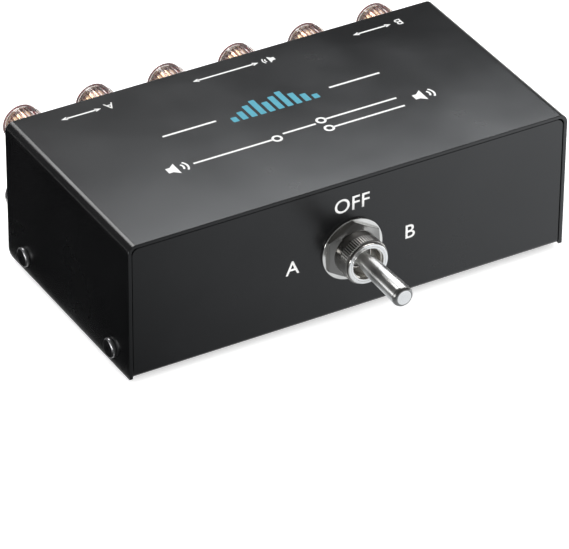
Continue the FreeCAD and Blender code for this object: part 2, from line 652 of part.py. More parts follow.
def make_post_bodies():
    """Fixed pieces of the posts: studs, collars and the stack inside the box."""
    seat = COLLAR_H - STUD_FLANGE_T
    stud = turned([(0, -STUD_TAIL), (STUD_TAIL_R, -STUD_TAIL, 0.3), (STUD_TAIL_R, seat),
                   (STUD_FLANGE_R, seat), (STUD_FLANGE_R, COLLAR_H), (STUD_R, COLLAR_H),
                   (STUD_R, STUD_REACH, 0.25), (SOCKET_R + SOCKET_CHAMFER, STUD_REACH),
                   (SOCKET_R, STUD_REACH - SOCKET_CHAMFER), (SOCKET_R, STUD_REACH - SOCKET_DEPTH),
                   (0, STUD_REACH - SOCKET_DEPTH - 0.8)])
    hole = on_axis(Part.makeCylinder(WIRE_HOLE_R, 4 * STUD_R),
                   Vector(-2 * STUD_R, 0, COLLAR_H + WIRE_HOLE_AT), Vector(1, 0, 0))
    stud = stud.cut(hole)
    outer = CAP_R - COLLAR_STEP
    collar = turned([(TAIL_BORE_R, -SHEET), (COLLAR_NECK_R, -SHEET), (COLLAR_NECK_R, 0), (outer, 0),
                     (outer, COLLAR_H, 0.4), (STUD_FLANGE_R + THREAD_GAP, COLLAR_H),
                     (STUD_FLANGE_R + THREAD_GAP, seat), (TAIL_BORE_R, seat)])
    at = -SHEET
    washer = turned([(TAIL_BORE_R, at - INNER_WASHER_T), (INNER_WASHER_R, at - INNER_WASHER_T, 0.3),
                     (INNER_WASHER_R, at), (TAIL_BORE_R, at)])
    at -= INNER_WASHER_T
    ring = Part.makeCylinder(TAG_R, TAG_T, Vector(0, 0, at - TAG_T))
    tongue = block(0, TAG_REACH, -TAG_W / 2, TAG_W / 2, at - TAG_T, at)
    tag = ring.fuse(tongue).cut(Part.makeCylinder(TAIL_BORE_R, TAG_T, Vector(0, 0, at - TAG_T)))
    at -= TAG_T
    spring = tube(SPRING_WASHER_R, TAIL_BORE_R, at - SPRING_WASHER_T, at)
    split = block(0, SPRING_WASHER_R + 1, -0.35, 0.35, at - SPRING_WASHER_T - 1, at + 1)
    spring = spring.cut(split)
    at -= SPRING_WASHER_T
    nut = hexagon(POST_NUT_FLAT, at - POST_NUT_T, at)
    nut = nut.cut(Part.makeCylinder(TAIL_BORE_R, POST_NUT_T, Vector(0, 0, at - POST_NUT_T)))
    groups = {"red_collars": [], "black_collars": [], "post_studs": [], "panel_insulators": [],
              "solder_tags": [], "spring_washers": [], "post_nuts": []}
    for number, x, z in posts():
        upper = z == ROW_HIGH
        groups["red_collars" if upper else "black_collars"].append(on_rear(collar, x, z))
        groups["post_studs"].append(on_rear(stud, x, z))
        groups["panel_insulators"].append(on_rear(washer, x, z))
        turn = tag.copy()
        turn.rotate(Vector(0, 0, 0), Vector(0, 0, 1), tag_turn(upper))
        groups["solder_tags"].append(on_rear(turn, x, z))
        groups["spring_washers"].append(on_rear(spring, x, z))
        groups["post_nuts"].append(on_rear(nut, x, z))
    for name, solids in groups.items():
        keep(name, solids)


def tag_turn(upper):
    """Turn that points a solder tag at the space between the two rows."""
    probe = Rotation(Vector(0, 0, 1), Vector(0, 1, 0))
    for turn in (90, -90):
        radial = Vector(math.cos(math.radians(turn)), math.sin(math.radians(turn)), 0)
        if (probe.multVec(radial).z < 0) == upper:
            return turn
    return 0


def make_caps():
    """Screw caps: a threaded metal insert in a knurled plastic grip, one pair per post."""
    back = COLLAR_H + SEAT_GAP
    face = CAP_REACH - GRIP_PROUD
    shelf = CAP_REACH - MOUTH_DEPTH
    flange = INSERT_R + INSERT_FLANGE
    insert = turned([(INSERT_BORE_R, back), (INSERT_R, back), (INSERT_R, CAP_REACH - INSERT_FLANGE_T),
                     (flange, CAP_REACH - INSERT_FLANGE_T), (flange, CAP_REACH, 0.2),
                     (MOUTH_R + MOUTH_CHAMFER, CAP_REACH), (MOUTH_R, CAP_REACH - MOUTH_CHAMFER),
                     (MOUTH_R, shelf), (INSERT_BORE_R, shelf)])
    bore = INSERT_R + RUN_FIT
    seat = CAP_REACH - INSERT_FLANGE_T - RUN_FIT
    root = CAP_R - GRIP_TOOTH
    body = turned([(bore, back), (root, back, 0.4), (root, face, GRIP_ROUND),
                   (flange + RUN_FIT, face), (flange + RUN_FIT, seat), (bore, seat)])
    band = star(CAP_R, GRIP_TOOTH, GRIP_TEETH, back + GRIP_RIM_BACK, face - GRIP_RIM_FRONT)
    band = band.cut(Part.makeCylinder(root - 0.5, CAP_REACH))
    grip = body.fuse(band)
    for number, x, z in posts():
        keep("cap_insert_%d" % number, on_rear(insert, x, z))
        keep("cap_grip_%d" % number, on_rear(grip, x, z))


# ---- wires -------------------------------------------------------------------------------------------
def wire_solid(points):
    """Round wire along straight runs joined by tangent arcs."""
    edges, here = [], points[0]
    for before, corner, after in zip(points, points[1:], points[2:]):
        back, ahead = (before - corner), (after - corner)
        turn = math.pi - back.getAngle(ahead)
        shorter = min(back.Length, ahead.Length)
        reach = 0.45 * shorter
        radius = reach / math.tan(turn / 2)
        back.normalize()
        ahead.normalize()
        middle = (back + ahead).normalize()
        centre = corner + middle * math.hypot(radius, reach)
        first, last = corner + back * reach, corner + ahead * reach
        edges.append(Part.LineSegment(here, first).toShape())
        edges.append(Part.Arc(first, centre - middle * radius, last).toShape())
        here = last
    edges.append(Part.LineSegment(here, points[-1]).toShape())
    path = Part.Wire(edges)
    start = (points[1] - points[0]).normalize()
    ring = Part.Wire(Part.makeCircle(WIRE_R, points[0], start))
    solid = path.makePipeShell([ring], True, False)
    expected = math.pi * WIRE_R ** 2 * path.Length
    print("wire %.1f mm, volume %.4f of section x length" % (path.Length, solid.Volume / expected))
    return solid


def make_wires():
    """Twelve wires: each post's tag to a terminal of the pole that switches it."""
    tag_y = REAR_Y - SHEET - INNER_WASHER_T - TAG_T
    lug_y = behind(BASE_AT + BASE_DEPTH + LUG_LENGTH)
    lug_x = THROW_X - TERMINAL_T / 2
    lead = WIRE_LEAD * (tag_y - lug_y)
    # group column offsets: the right-hand post of each group, then the left-hand one
    groups = {"b": (0, -lug_x, -WIRE_LAYER), "out": (2, 0, 0.0), "a": (4, lug_x, WIRE_LAYER)}
    red, black = [], []
    for pole, lug_z in enumerate(POLES_Z):
        upper = pole < 2
        row = ROW_HIGH if upper else ROW_LOW
        tag_z = row + (-1 if upper else 1) * (TAG_REACH - TAG_W / 2)
        for first, end_x, layer in groups.values():
            x = COLUMN_X[first + pole % 2]
            level = lug_z + layer
            points = [Vector(x, tag_y, tag_z), Vector(x, tag_y - lead, tag_z),
                      Vector(x * 0.92 + end_x * 0.08, tag_y - 2 * lead, level),
                      Vector(end_x * 0.92 + x * 0.08, lug_y + 2 * lead, level),
                      Vector(end_x, lug_y + lead, lug_z), Vector(end_x, lug_y, lug_z)]
            (red if upper else black).append(wire_solid(points))
    keep("red_wires", red)
    keep("black_wires", black)


def main():
    os.makedirs("parts", exist_ok=True)
    for make in (make_chassis, make_cover, make_cover_screws, make_feet, make_panel_hardware,
                 make_bushing, make_lever, make_switch_frame, make_switch_base, make_carriage,
                 make_contacts, make_post_bodies, make_caps, make_wires):
        make()
    for name, shape in NODES.items():
        moved = shape.copy()
        moved.translate(SHIFT)
        moved.exportStep("parts/%s.step" % name)
    print("%d nodes" % len(NODES))


main()
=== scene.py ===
"""Looks of a two-way speaker selector switch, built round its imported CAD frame.

The frame's axes: +X to the right seen from the front, the front panel faces -Y, +Z up,
the origin is under the middle of the feet. Sizes are in millimetres, but the studio's are
in metres.
"""

import logging
import math
from contextlib import contextmanager
from dataclasses import dataclass, field
from enum import Enum
from typing import Callable, Iterator, Sequence

import bpy
from mathutils import Matrix, Vector


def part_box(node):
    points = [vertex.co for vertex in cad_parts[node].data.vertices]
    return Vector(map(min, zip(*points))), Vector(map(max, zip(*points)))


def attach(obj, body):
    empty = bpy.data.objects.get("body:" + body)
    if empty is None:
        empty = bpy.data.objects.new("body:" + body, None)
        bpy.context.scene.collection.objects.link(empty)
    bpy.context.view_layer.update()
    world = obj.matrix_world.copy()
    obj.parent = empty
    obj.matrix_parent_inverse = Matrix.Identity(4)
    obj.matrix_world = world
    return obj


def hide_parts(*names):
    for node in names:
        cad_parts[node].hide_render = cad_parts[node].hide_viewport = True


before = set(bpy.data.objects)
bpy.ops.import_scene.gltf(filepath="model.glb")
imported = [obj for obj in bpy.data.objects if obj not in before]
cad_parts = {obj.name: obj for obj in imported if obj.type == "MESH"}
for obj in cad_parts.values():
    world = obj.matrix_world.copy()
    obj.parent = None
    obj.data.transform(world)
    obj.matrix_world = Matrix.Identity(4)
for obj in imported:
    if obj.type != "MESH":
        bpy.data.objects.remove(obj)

LOG = logging.getLogger("speaker_selector")
MM = 0.001
COVER_TOP = 47.0         # highest plane of the CAD cover
REAR_PANEL = 44.35       # outer face of the rear panel
INK_FILM = 0.03          # thickness of the printed marks
Pair = tuple[float, float]
Triple = tuple[float, float, float]
Station = tuple[float, ...]
Piece = bpy.types.Object
Node = bpy.types.Node
Socket = bpy.types.NodeSocket
Material = bpy.types.Material


class Facing(Enum):
    """Directions in which a turned piece's height can run."""

    FRONT = (0.0, -1.0, 0.0)
    REAR = (0.0, 1.0, 0.0)
    LEFT = (-1.0, 0.0, 0.0)
    RIGHT = (1.0, 0.0, 0.0)

    def matrix(self, origin: Sequence[float]) -> Matrix:
        """Return the matrix that takes local +Z to this direction, from an origin."""
        turn = Vector((0, 0, 1)).rotation_difference(Vector(self.value))
        return Matrix.Translation(Vector(origin) * MM) @ turn.to_matrix().to_4x4()


# ---- bench ----


def mm(values: Sequence[float]) -> Station:
    """Turn millimetres into metres."""
    return tuple(value * MM for value in values)


def clear_selection() -> None:
    """Leave edit mode and deselect everything."""
    if bpy.context.object and bpy.context.object.mode != "OBJECT":
        bpy.ops.object.mode_set(mode="OBJECT")
    bpy.ops.object.select_all(action="DESELECT")


def take(piece: Piece) -> None:
    """Make a piece the only selected object, and the active one.

    Args:
        piece: The piece.
    """
    clear_selection()
    piece.select_set(True)
    bpy.context.view_layer.objects.active = piece


def new_piece(name: str, add: Callable[..., object], **values: object) -> Piece:
    """Add a primitive, text, light or camera.

    Args:
        name: Its name.
        add: The operator that adds it.
        values: The operator's own values.

    Returns:
        The new object.
    """
    clear_selection()
    add(**values)
    piece = bpy.context.object
    piece.name = piece.data.name = name
    return piece


@contextmanager
def editing(piece: Piece) -> Iterator[None]:
    """Edit mode on one piece, with all of it selected.

    Args:
        piece: The piece to edit.

    Returns:
        A context in which edit operators act on piece.
    """
    take(piece)
    bpy.ops.object.mode_set(mode="EDIT")
    bpy.ops.mesh.select_mode(type="VERT")
    bpy.ops.mesh.select_all(action="SELECT")
    yield
    bpy.ops.object.mode_set(mode="OBJECT")


def choose(piece: Piece, test: Callable[[Vector], bool]) -> None:
    """Select the vertices whose place passes a test, from inside editing().

    Args:
        piece: The piece in edit mode.
        test: Takes a vertex place in the piece's own coordinates.
    """
    bpy.ops.mesh.select_all(action="DESELECT")
    bpy.ops.object.mode_set(mode="OBJECT")
    for vertex in piece.data.vertices:
        vertex.select = test(vertex.co / MM)
    bpy.ops.object.mode_set(mode="EDIT")


def extrude(step: Sequence[float]) -> None:
    """Extrude what is selected by a step."""
    bpy.ops.mesh.extrude_region_move(TRANSFORM_OT_translate={"value": mm(step)})


def shift(step: Sequence[float]) -> None:
    """Move what is selected by a step."""
    bpy.ops.transform.translate(value=mm(step))


def stretch(factors: Sequence[float], centre: Sequence[float] = (0, 0, 0)) -> None:
    """Scale what is selected about a centre."""
    bpy.ops.transform.resize(value=factors, center_override=mm(centre))


def weld() -> None:
    """Join doubles and turn all normals outwards, from inside editing()."""
    bpy.ops.mesh.select_all(action="SELECT")
    bpy.ops.mesh.remove_doubles(threshold=1e-7)
    bpy.ops.mesh.normals_make_consistent(inside=False)


def settle_place(piece: Piece) -> Piece:
    """Put a piece's place into its mesh, so that its object is at the origin.

    Args:
        piece: The piece.

    Returns:
        The same piece.
    """
    take(piece)
    bpy.ops.object.transform_apply(location=True, rotation=True, scale=True)
    return piece


def place(piece: Piece, matrix: Matrix) -> Piece:
    """Move a finished mesh by a matrix, within its mesh.

    Args:
        piece: The piece.
        matrix: The move.

    Returns:
        The same piece.
    """
    take(piece)
    piece.matrix_world = matrix @ piece.matrix_world
    return settle_place(piece)


def round_profile(points: Sequence[Station], arc: int) -> list[Pair]:
    """Replace corners that state a radius by short arcs.

    Args:
        points: (radius, height) or (radius, height, corner radius).
        arc: Runs per rounded corner.

    Returns:
        The stations as (radius, height).
    """
    flat = [Vector(point[:2]) for point in points]
    stations: list[Pair] = []
    for index, point in enumerate(points):
        here = flat[index]
        if len(point) < 3 or index in (0, len(points) - 1):
            stations.append((here.x, here.y))
            continue
        back = (flat[index - 1] - here).normalized()
        ahead = (flat[index + 1] - here).normalized()
        half = back.angle(ahead) / 2
        centre = here + (back + ahead).normalized() * (point[2] / math.sin(half))
        first = here + back * (point[2] / math.tan(half)) - centre
        last = here + ahead * (point[2] / math.tan(half)) - centre
        for step in range(arc + 1):
            spot = centre + first.slerp(last, step / arc) * point[2]
            stations.append((spot.x, spot.y))
    return stations


def turn_piece(name: str, points: Sequence[Station], steps: int,
               solid: bool = False, arc: int = 5) -> Piece:
    """Turn a piece about its local Z axis: a circle, extruded and scaled from station to station.

    Args:
        name: The piece's name.
        points: (radius, height[, corner radius]) stations.
        steps: Facets round the axis.
        solid: True if both ends are closed discs, False for a ring whose profile closes.
        arc: Runs per rounded corner.

    Returns:
        The piece, on the local Z axis.
    """
    stations = round_profile(points, arc)
    radius, height = stations[0]
    piece = new_piece(name, bpy.ops.mesh.primitive_circle_add, vertices=steps, radius=radius * MM,
                      fill_type="NGON" if solid else "NOTHING", location=(0, 0, height * MM))
    with editing(piece):
        for (before, low), (after, high) in zip(stations, stations[1:]):
            extrude((0, 0, high - low))
            stretch((after / before, after / before, 1), (0, 0, high))
        weld()
    return settle_place(piece)


def turned_thread(radius: float, depth: float, pitch: float, low: float, high: float) -> list[Station]:
    """Return a thread's stations: ridges from height low on, none of which starts above high."""
    starts = [low + ridge * pitch for ridge in range(math.ceil((high - low) / pitch))]
    return [spot for at in starts for spot in ((radius, at), (radius - depth, at + pitch / 2))]


@dataclass
class Grooves:
    """Straight grooves that are pressed into a turned piece's rim."""

    rim: float
    depth: float
    count: int
    facets: int
    bottoms: Sequence[int]

    def press(self, piece: Piece) -> None:
        """Move the rim inwards at the facets that are a groove's bottom.

        Args:
            piece: The turned piece, on its local Z axis.
        """
        share = (self.rim - self.depth) / self.rim
        with editing(piece):
            choose(piece, self.at_bottom)
            stretch((share, share, 1))

    def at_bottom(self, spot: Vector) -> bool:
        """Tell whether a vertex lies at a groove's bottom."""
        facet = round(math.atan2(spot.y, spot.x) / (math.tau / (self.count * self.facets)))
        return math.hypot(spot.x, spot.y) > self.rim - 0.02 and facet % self.facets in self.bottoms


def duplicate(piece: Piece, name: str) -> Piece:
    """Copy a piece with its own mesh.

    Args:
        piece: The pattern piece.
        name: The copy's name.

    Returns:
        The copy.
    """
    take(piece)
    bpy.ops.object.duplicate(linked=False)
    copy = bpy.context.object
    copy.name = copy.data.name = name
    return copy


def scrap(piece: Piece) -> None:
    """Remove a pattern piece that only its copies need."""
    take(piece)
    bpy.ops.object.delete()


def soften(piece: Piece, width: float, segments: int = 2, angle: float = 35.0) -> None:
    """Break a piece's sharp edges and keep its flats flat.

    Args:
        piece: The piece.
        width: Width of the broken edge.
        segments: Runs across it.
        angle: Smallest angle in degrees that counts as an edge.
    """
    take(piece)
    bevel = piece.modifiers.new("edges", "BEVEL")
    bevel.width = width * MM
    bevel.segments = segments
    bevel.limit_method = "ANGLE"
    bevel.angle_limit = math.radians(angle)
    bevel.use_clamp_overlap = True
    bpy.ops.object.modifier_apply(modifier=bevel.name)
    keep_flats(piece)


def keep_flats(piece: Piece) -> None:
    """Let each corner take the normal of its larger faces, so that flats mirror flat.

    Args:
        piece: The piece.
    """
    take(piece)
    weight = piece.modifiers.new("flats", "WEIGHTED_NORMAL")
    weight.keep_sharp = True
    bpy.ops.object.modifier_apply(modifier=weight.name)


def smooth(piece: Piece, angle: float) -> None:
    """Shade a piece smooth.

    Args:
        piece: The piece.
        angle: Largest angle in degrees between faces that blend.
    """
    take(piece)
    bpy.ops.object.shade_smooth_by_angle(angle=math.radians(angle))
    keep_flats(piece)


def copy_node(node: str, name: str) -> Piece:
    """Take a CAD node's mesh as the start of a piece.

    Args:
        node: The CAD node.
        name: The piece's name.

    Returns:
        A piece with the node's shape, its flat regions joined into single faces.
    """
    piece = bpy.data.objects.new(name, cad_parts[node].data.copy())
    piece.data.name = name
    piece.data.materials.clear()
    bpy.context.scene.collection.objects.link(piece)
    with editing(piece):
        bpy.ops.mesh.remove_doubles(threshold=2e-6)
        bpy.ops.mesh.customdata_custom_splitnormals_clear()
        bpy.ops.mesh.dissolve_limited(angle_limit=math.radians(0.4))
    return piece


def paint(piece: Piece, finishes: Sequence["Finish"], zone: Callable[[float, float], int]) -> None:
    """Give the faces of a turned piece different finishes.

    Args:
        piece: The piece, on its local Z axis.
        finishes: The finishes.
        zone: Takes the radius and height of a face's centre, returns its finish's number.
    """
    piece.data.materials.clear()
    for finish in finishes:
        piece.data.materials.append(finish.material())
    for face in piece.data.polygons:
        centre = face.center / MM
        face.material_index = zone(math.hypot(centre.x, centre.y), centre.z)


def finish_piece(piece: Piece, finish: "Finish", body: str,
                 nodes: Sequence[str] = ()) -> None:
    """Dress a piece, hang it on its body and report it.

    Args:
        piece: The finished mesh, in place.
        finish: Its finish, unless it is painted already.
        body: The CAD body it moves with.
        nodes: CAD nodes that it stands for.
    """
    if not piece.data.materials:
        piece.data.materials.append(finish.material())
    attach(piece, body)
    if nodes:
        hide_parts(*nodes)
    LOG.info("%s on %s: %d faces", piece.name, body, len(piece.data.polygons))


# ---- finishes ----


class Mixer:
    """Wires a material's nodes."""

    def __init__(self, name: str) -> None:
        """Start an empty material.

        Args:
            name: The material's name.
        """
        self.made = bpy.data.materials.new(name)
        self.made.use_nodes = True
        self.tree = self.made.node_tree
        self.tree.nodes.clear()
        self.out = self.node("OutputMaterial")
        self.place = self.node("TexCoord").outputs["Object"]

    def node(self, kind: str, **values: object) -> Node:
        """Add a node.

        Args:
            kind: The node's type without the ShaderNode prefix.
            values: Socket values by name, with spaces as underscores.

        Returns:
            The node.
        """
        made = self.tree.nodes.new("ShaderNode" + kind)
        for key, value in values.items():
            made.inputs[key.replace("_", " ")].default_value = value
        return made

    def link(self, source: Socket, target: Socket) -> None:
        """Join two sockets."""
        self.tree.links.new(source, target)

    def noise(self, scale: float, detail: float) -> Socket:
        """Make noise on the piece's own coordinates.

        Args:
            scale: Cells per metre.
            detail: Octaves.

        Returns:
            The noise value's socket.
        """
        texture = self.node("TexNoise", Scale=scale, Detail=detail)
        self.link(self.place, texture.inputs["Vector"])
        return texture.outputs["Fac"]

    def patchy(self, noise: Pair, dark: Triple, light: Triple, **values: object) -> tuple[Node, Socket]:
        """Add a shader whose colour varies in patches.

        Args:
            noise: Scale and detail of the patches.
            dark: Colour of the dark ones.
            light: Colour of the light ones.
            values: Other socket values.

        Returns:
            The shader, and the socket of the patches' noise.
        """
        made = self.node("BsdfPrincipled", **values)
        cloud = self.noise(*noise)
        ramp = self.node("ValToRGB")
        ramp.color_ramp.interpolation = "EASE"
        for end, position, colour in zip(ramp.color_ramp.elements, (0.35, 0.65), (dark, light)):
            end.position = position
            end.color = (*colour, 1)
        self.link(cloud, ramp.inputs["Fac"])
        self.link(ramp.outputs["Color"], made.inputs["Base Color"])
        return made, cloud

    def surface(self, shader: Node) -> Material:
        """Finish the material with its surface shader."""
        self.link(shader.outputs[0], self.out.inputs["Surface"])
        return self.made


def shade(colour: Triple, factor: float) -> Triple:
    """Scale a colour."""
    return tuple(min(1.0, channel * factor) for channel in colour)


@dataclass(frozen=True)
class Finish:
    """A surface finish; each kind mixes its own nodes."""

    name: str
    colour: Triple

    def material(self) -> Material:
        """Return the finish's material, made once."""
        known = bpy.data.materials.get(self.name)
        return known if known else self.mix(Mixer(self.name))

    def mix(self, mixer: Mixer) -> Material:
        """Wire the finish's nodes; every kind has its own."""
        raise NotImplementedError

    def shader(self, mixer: Mixer, patches: Pair, tones: Pair, roughness: Pair, relief: Pair,
               strength: float, depth: float, **values: object) -> Node:
        """Add a shader that varies in patches and has a fine relief.

        Args:
            mixer: The material's mixer.
            patches: Scale and detail of the patches' noise.
            tones: Factors of the colour in the dark and the light patches.
            roughness: Roughness of the two.
            relief: Scale and detail of the relief's noise.
            strength: The relief's strength.
            depth: The relief's depth.
            values: Other socket values.

        Returns:
            The shader.
        """
        dark, light = (shade(self.colour, tone) for tone in tones)
        made, cloud = mixer.patchy(patches, dark, light, **values)
        rough = mixer.node("MapRange", From_Min=0.25, From_Max=0.75, To_Min=roughness[0],
                           To_Max=roughness[1])
        rough.interpolation_type = "SMOOTHSTEP"
        mixer.link(cloud, rough.inputs["Value"])
        mixer.link(rough.outputs["Result"], made.inputs["Roughness"])
        bump = mixer.node("Bump", Strength=strength, Distance=depth * MM)
        mixer.link(mixer.noise(*relief), bump.inputs["Height"])
        mixer.link(bump.outputs["Normal"], made.inputs["Normal"])
        return made


@dataclass(frozen=True)
class PowderCoat(Finish):
    """Baked black powder on sheet steel: fine orange peel, soft sheen, a little dust."""

    roughness: float = 0.25
    sheen: float = 0.5
    grain: float = 2600.0

    def mix(self, mixer: Mixer) -> Material:
        """Wire the coat.

        Args:
            mixer: The material's mixer.

        Returns:
            The material.
        """
        rough = (self.roughness - 0.03, self.roughness + 0.03)
        return mixer.surface(self.shader(mixer, (38.0, 4.0), (0.86, 1.14), rough, (self.grain, 4.0),
                                         0.35, 0.012, Specular_IOR_Level=self.sheen))


@dataclass(frozen=True)
class PlatedMetal(Finish):
    """Plated turned or pressed metal with faint tool marks and handling haze."""

    roughness: float = 0.14
    marks: float = 0.25
    mark_scale: float = 1500.0
    turned: float = 0.0

    def mix(self, mixer: Mixer) -> Material:
        """Wire the plating.

        Args:
            mixer: The material's mixer.

        Returns:
            The material.
        """
        rough = (self.roughness * 0.8, self.roughness * 1.3)
        metal = self.shader(mixer, (160.0, 5.0), (0.9, 1.0), rough, (self.mark_scale, 2.0),
                            self.marks, 0.004, Metallic=1.0)
        if self.turned:
            metal.inputs["Anisotropic"].default_value = self.turned
            metal.inputs["Anisotropic Rotation"].default_value = 0.25
            grooves = mixer.node("Tangent")
            grooves.direction_type = "RADIAL"
            grooves.axis = "Y"
            mixer.link(grooves.outputs[0], metal.inputs["Tangent"])
        return mixer.surface(metal)


@dataclass(frozen=True)
class ClearPlastic(Finish):
    """Tinted clear moulding: the tint deepens with the length of the light's way."""

    deep: Triple
    density: float
    roughness: float = 0.06
    bend: float = 1.14
    clarity: float = 0.9

    def mix(self, mixer: Mixer) -> Material:
        """Wire the moulding.

        Args:
            mixer: The material's mixer.

        Returns:
            The material.
        """
        rough = (self.roughness * 0.7, self.roughness * 1.4)
        body = self.shader(mixer, (220.0, 3.0), (0.96, 1.0), rough, (900.0, 2.0), 0.15, 0.01,
                           Transmission_Weight=self.clarity, IOR=self.bend,
                           Coat_Weight=1.0, Coat_IOR=1.49, Coat_Roughness=0.08)
        tint = mixer.node("VolumeAbsorption", Color=(*self.deep, 1), Density=self.density)
        mixer.link(tint.outputs[0], mixer.out.inputs["Volume"])
        return mixer.surface(body)


@dataclass(frozen=True)
class SolidPlastic(Finish):
    """Opaque moulding or rubber with a fine moulded grain."""

    roughness: float = 0.45
    grain: float = 1800.0
    relief: float = 0.3
    depth: float = 0.02
    translucence: float = 0.0

    def mix(self, mixer: Mixer) -> Material:
        """Wire the moulding.

        Args:
            mixer: The material's mixer.

        Returns:
            The material.
        """
        rough = (self.roughness - 0.05, self.roughness + 0.06)
        return mixer.surface(self.shader(mixer, (90.0, 4.0), (0.85, 1.12), rough, (self.grain, 3.0),
                                         self.relief, self.depth, Subsurface_Scale=0.001,
                                         Subsurface_Weight=self.translucence))


@dataclass(frozen=True)
class ScreenInk(Finish):
    """Opaque screen-printed ink, slightly uneven where it lies on the coat."""

    roughness: float = 0.5

    def mix(self, mixer: Mixer) -> Material:
        """Wire the ink.

        Args:
            mixer: The material's mixer.

        Returns:
            The material.
        """
        rough = (self.roughness - 0.08, self.roughness + 0.08)
        return mixer.surface(self.shader(mixer, (700.0, 5.0), (0.93, 1.0), rough, (2600.0, 3.0),
                                         0.2, 0.008, Specular_IOR_Level=0.3))


BLACK_COAT = PowderCoat("black_powder_coat", (0.0045, 0.0047, 0.0052))
NICKEL = PlatedMetal("nickel_plate", (0.88, 0.86, 0.82), 0.16, turned=0.4)
KNURLED = PlatedMetal("knurled_nickel", (0.95, 0.93, 0.90), 0.34, turned=0.8)
# Near-black metal for the knurl's roots: painted shade between the teeth.
KNURL_ROOT_PAINTED_SHADE = PlatedMetal("knurl_root_painted_shade", (0.10, 0.095, 0.09), 0.5, 0.3)
# Rougher nickel for the dress nut's waist; its dark grey colour is painted shade under the knurl.
DULL_NICKEL_PAINTED_SHADE = PlatedMetal("dull_nickel_painted_shade", (0.36, 0.35, 0.335), 0.30, turned=0.7)
WASHER_NICKEL = PlatedMetal("washer_nickel", (0.88, 0.87, 0.84), 0.16, turned=0.3)
# Hexagon nut's nickel darkened to dark grey: painted shade for the dark surroundings it mirrors.
HEX_NICKEL_PAINTED_SHADE = PlatedMetal("hexagon_nickel_painted_shade", (0.25, 0.245, 0.235), 0.16)
CHROME = PlatedMetal("satin_chrome", (0.88, 0.88, 0.87), 0.32, 0.12, turned=0.85)
CHROME_TIP = PlatedMetal("polished_chrome", (0.97, 0.97, 0.96), 0.12, 0.1)
# Dark chrome on the lever's rounded end corner: painted shade.
CHROME_CORNER_PAINTED_SHADE = PlatedMetal("chrome_corner_painted_shade", (0.26, 0.26, 0.255), 0.26, 0.3)
GOLD = PlatedMetal("gold_plate", (0.98, 0.80, 0.46), 0.20, turned=0.4)
STEEL = PlatedMetal("zinc_plated_steel", (0.55, 0.56, 0.58), 0.32, 0.4, 600.0)
BLACK_ZINC = PlatedMetal("black_zinc", (0.16, 0.16, 0.17), 0.28, 0.35, 900.0)
# Lighter zinc on the screw heads' rims: partly wear, partly a painted highlight.
WORN_ZINC_AND_HIGHLIGHT = PlatedMetal("worn_black_zinc", (0.46, 0.46, 0.47), 0.30, 0.4, 900.0)
SILVER = PlatedMetal("silver_plated_copper", (0.84, 0.81, 0.75), 0.24, 0.3)
TIN = PlatedMetal("tinned_brass", (0.70, 0.70, 0.68), 0.36, 0.4, 500.0)
RED_DEEP, SMOKE_DEEP = (0.80, 0.10, 0.12), (0.10, 0.10, 0.14)
RED_CLEAR = ClearPlastic("clear_red_moulding", (0.96, 0.90, 0.89), RED_DEEP, 16.0)
SMOKE_CLEAR = ClearPlastic("clear_smoke_moulding", (0.55, 0.55, 0.57), SMOKE_DEEP, 60.0)
# Darker clear moulding for the faces between the grip's ribs: painted shade in the grooves.
RED_RIB_PAINTED_SHADE = ClearPlastic("red_rib_painted_shade", (0.42, 0.30, 0.30), RED_DEEP, 16.0)
SMOKE_RIB_PAINTED_SHADE = ClearPlastic("smoke_rib_painted_shade", (0.20, 0.20, 0.21), SMOKE_DEEP, 60.0)
RED_FACE = SolidPlastic("red_grip_face", (0.23, 0.012, 0.018), 0.22, 900.0, 0.15, 0.01, 0.15)
SMOKE_FACE = SolidPlastic("smoke_grip_face", (0.045, 0.043, 0.052), 0.22, 900.0, 0.15, 0.01)
# Dark socket colours: partly a plastic lining, partly painted shade in the hole, with painted red light
# in the red row.
RED_SOCKET_LINING_AND_SHADE = SolidPlastic("red_socket_lining", (0.30, 0.006, 0.016), 0.3, 900.0, 0.1)
SMOKE_SOCKET_LINING_AND_SHADE = SolidPlastic("smoke_socket_lining", (0.012, 0.012, 0.018), 0.3, 900.0, 0.1)
RUBBER = SolidPlastic("black_rubber", (0.018, 0.018, 0.019), 0.7, 2600.0, 0.5, 0.04)
PHENOLIC = SolidPlastic("brown_phenolic", (0.055, 0.028, 0.014), 0.4, 700.0, 0.3, 0.03)
NYLON = SolidPlastic("natural_nylon", (0.80, 0.78, 0.70), 0.4, 900.0, 0.2, 0.02, 0.25)
RED_JACKET = SolidPlastic("red_wire_jacket", (0.55, 0.02, 0.02), 0.35, 500.0, 0.2, 0.02)
BLACK_JACKET = SolidPlastic("black_wire_jacket", (0.02, 0.02, 0.02), 0.35, 500.0, 0.2, 0.02)
WHITE_INK = ScreenInk("white_ink", (0.86, 0.86, 0.85))
TEAL_INK = ScreenInk("teal_ink", (0.040, 0.31, 0.42))

NODE_FINISHES = {
    STEEL: ("clinch_nuts", "tooth_washer", "pivot_pin", "switch_frame", "plunger_springs",
            "spring_washers"),
    NICKEL: ("inner_nut", "post_nuts"),
    RUBBER: ("rubber_feet",),
    PHENOLIC: ("switch_base",),
    NYLON: ("lever_carriage", "contact_plungers", "panel_insulators"),
    SILVER: ("rocker_blades", "common_terminals", "throw_terminals", "contact_buttons"),
    TIN: ("solder_tags",),
    RED_JACKET: ("red_wires",),
    BLACK_JACKET: ("black_wires",),
}


def dress_nodes() -> None:
    """Give every CAD node that stays in view, or inside, its finish."""
    for finish, nodes in NODE_FINISHES.items():
        for node in nodes:
            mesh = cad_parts[node].data
            mesh.materials.clear()
            mesh.materials.append(finish.material())
            LOG.info("node %s: %s", node, finish.name)


# ---- box ----


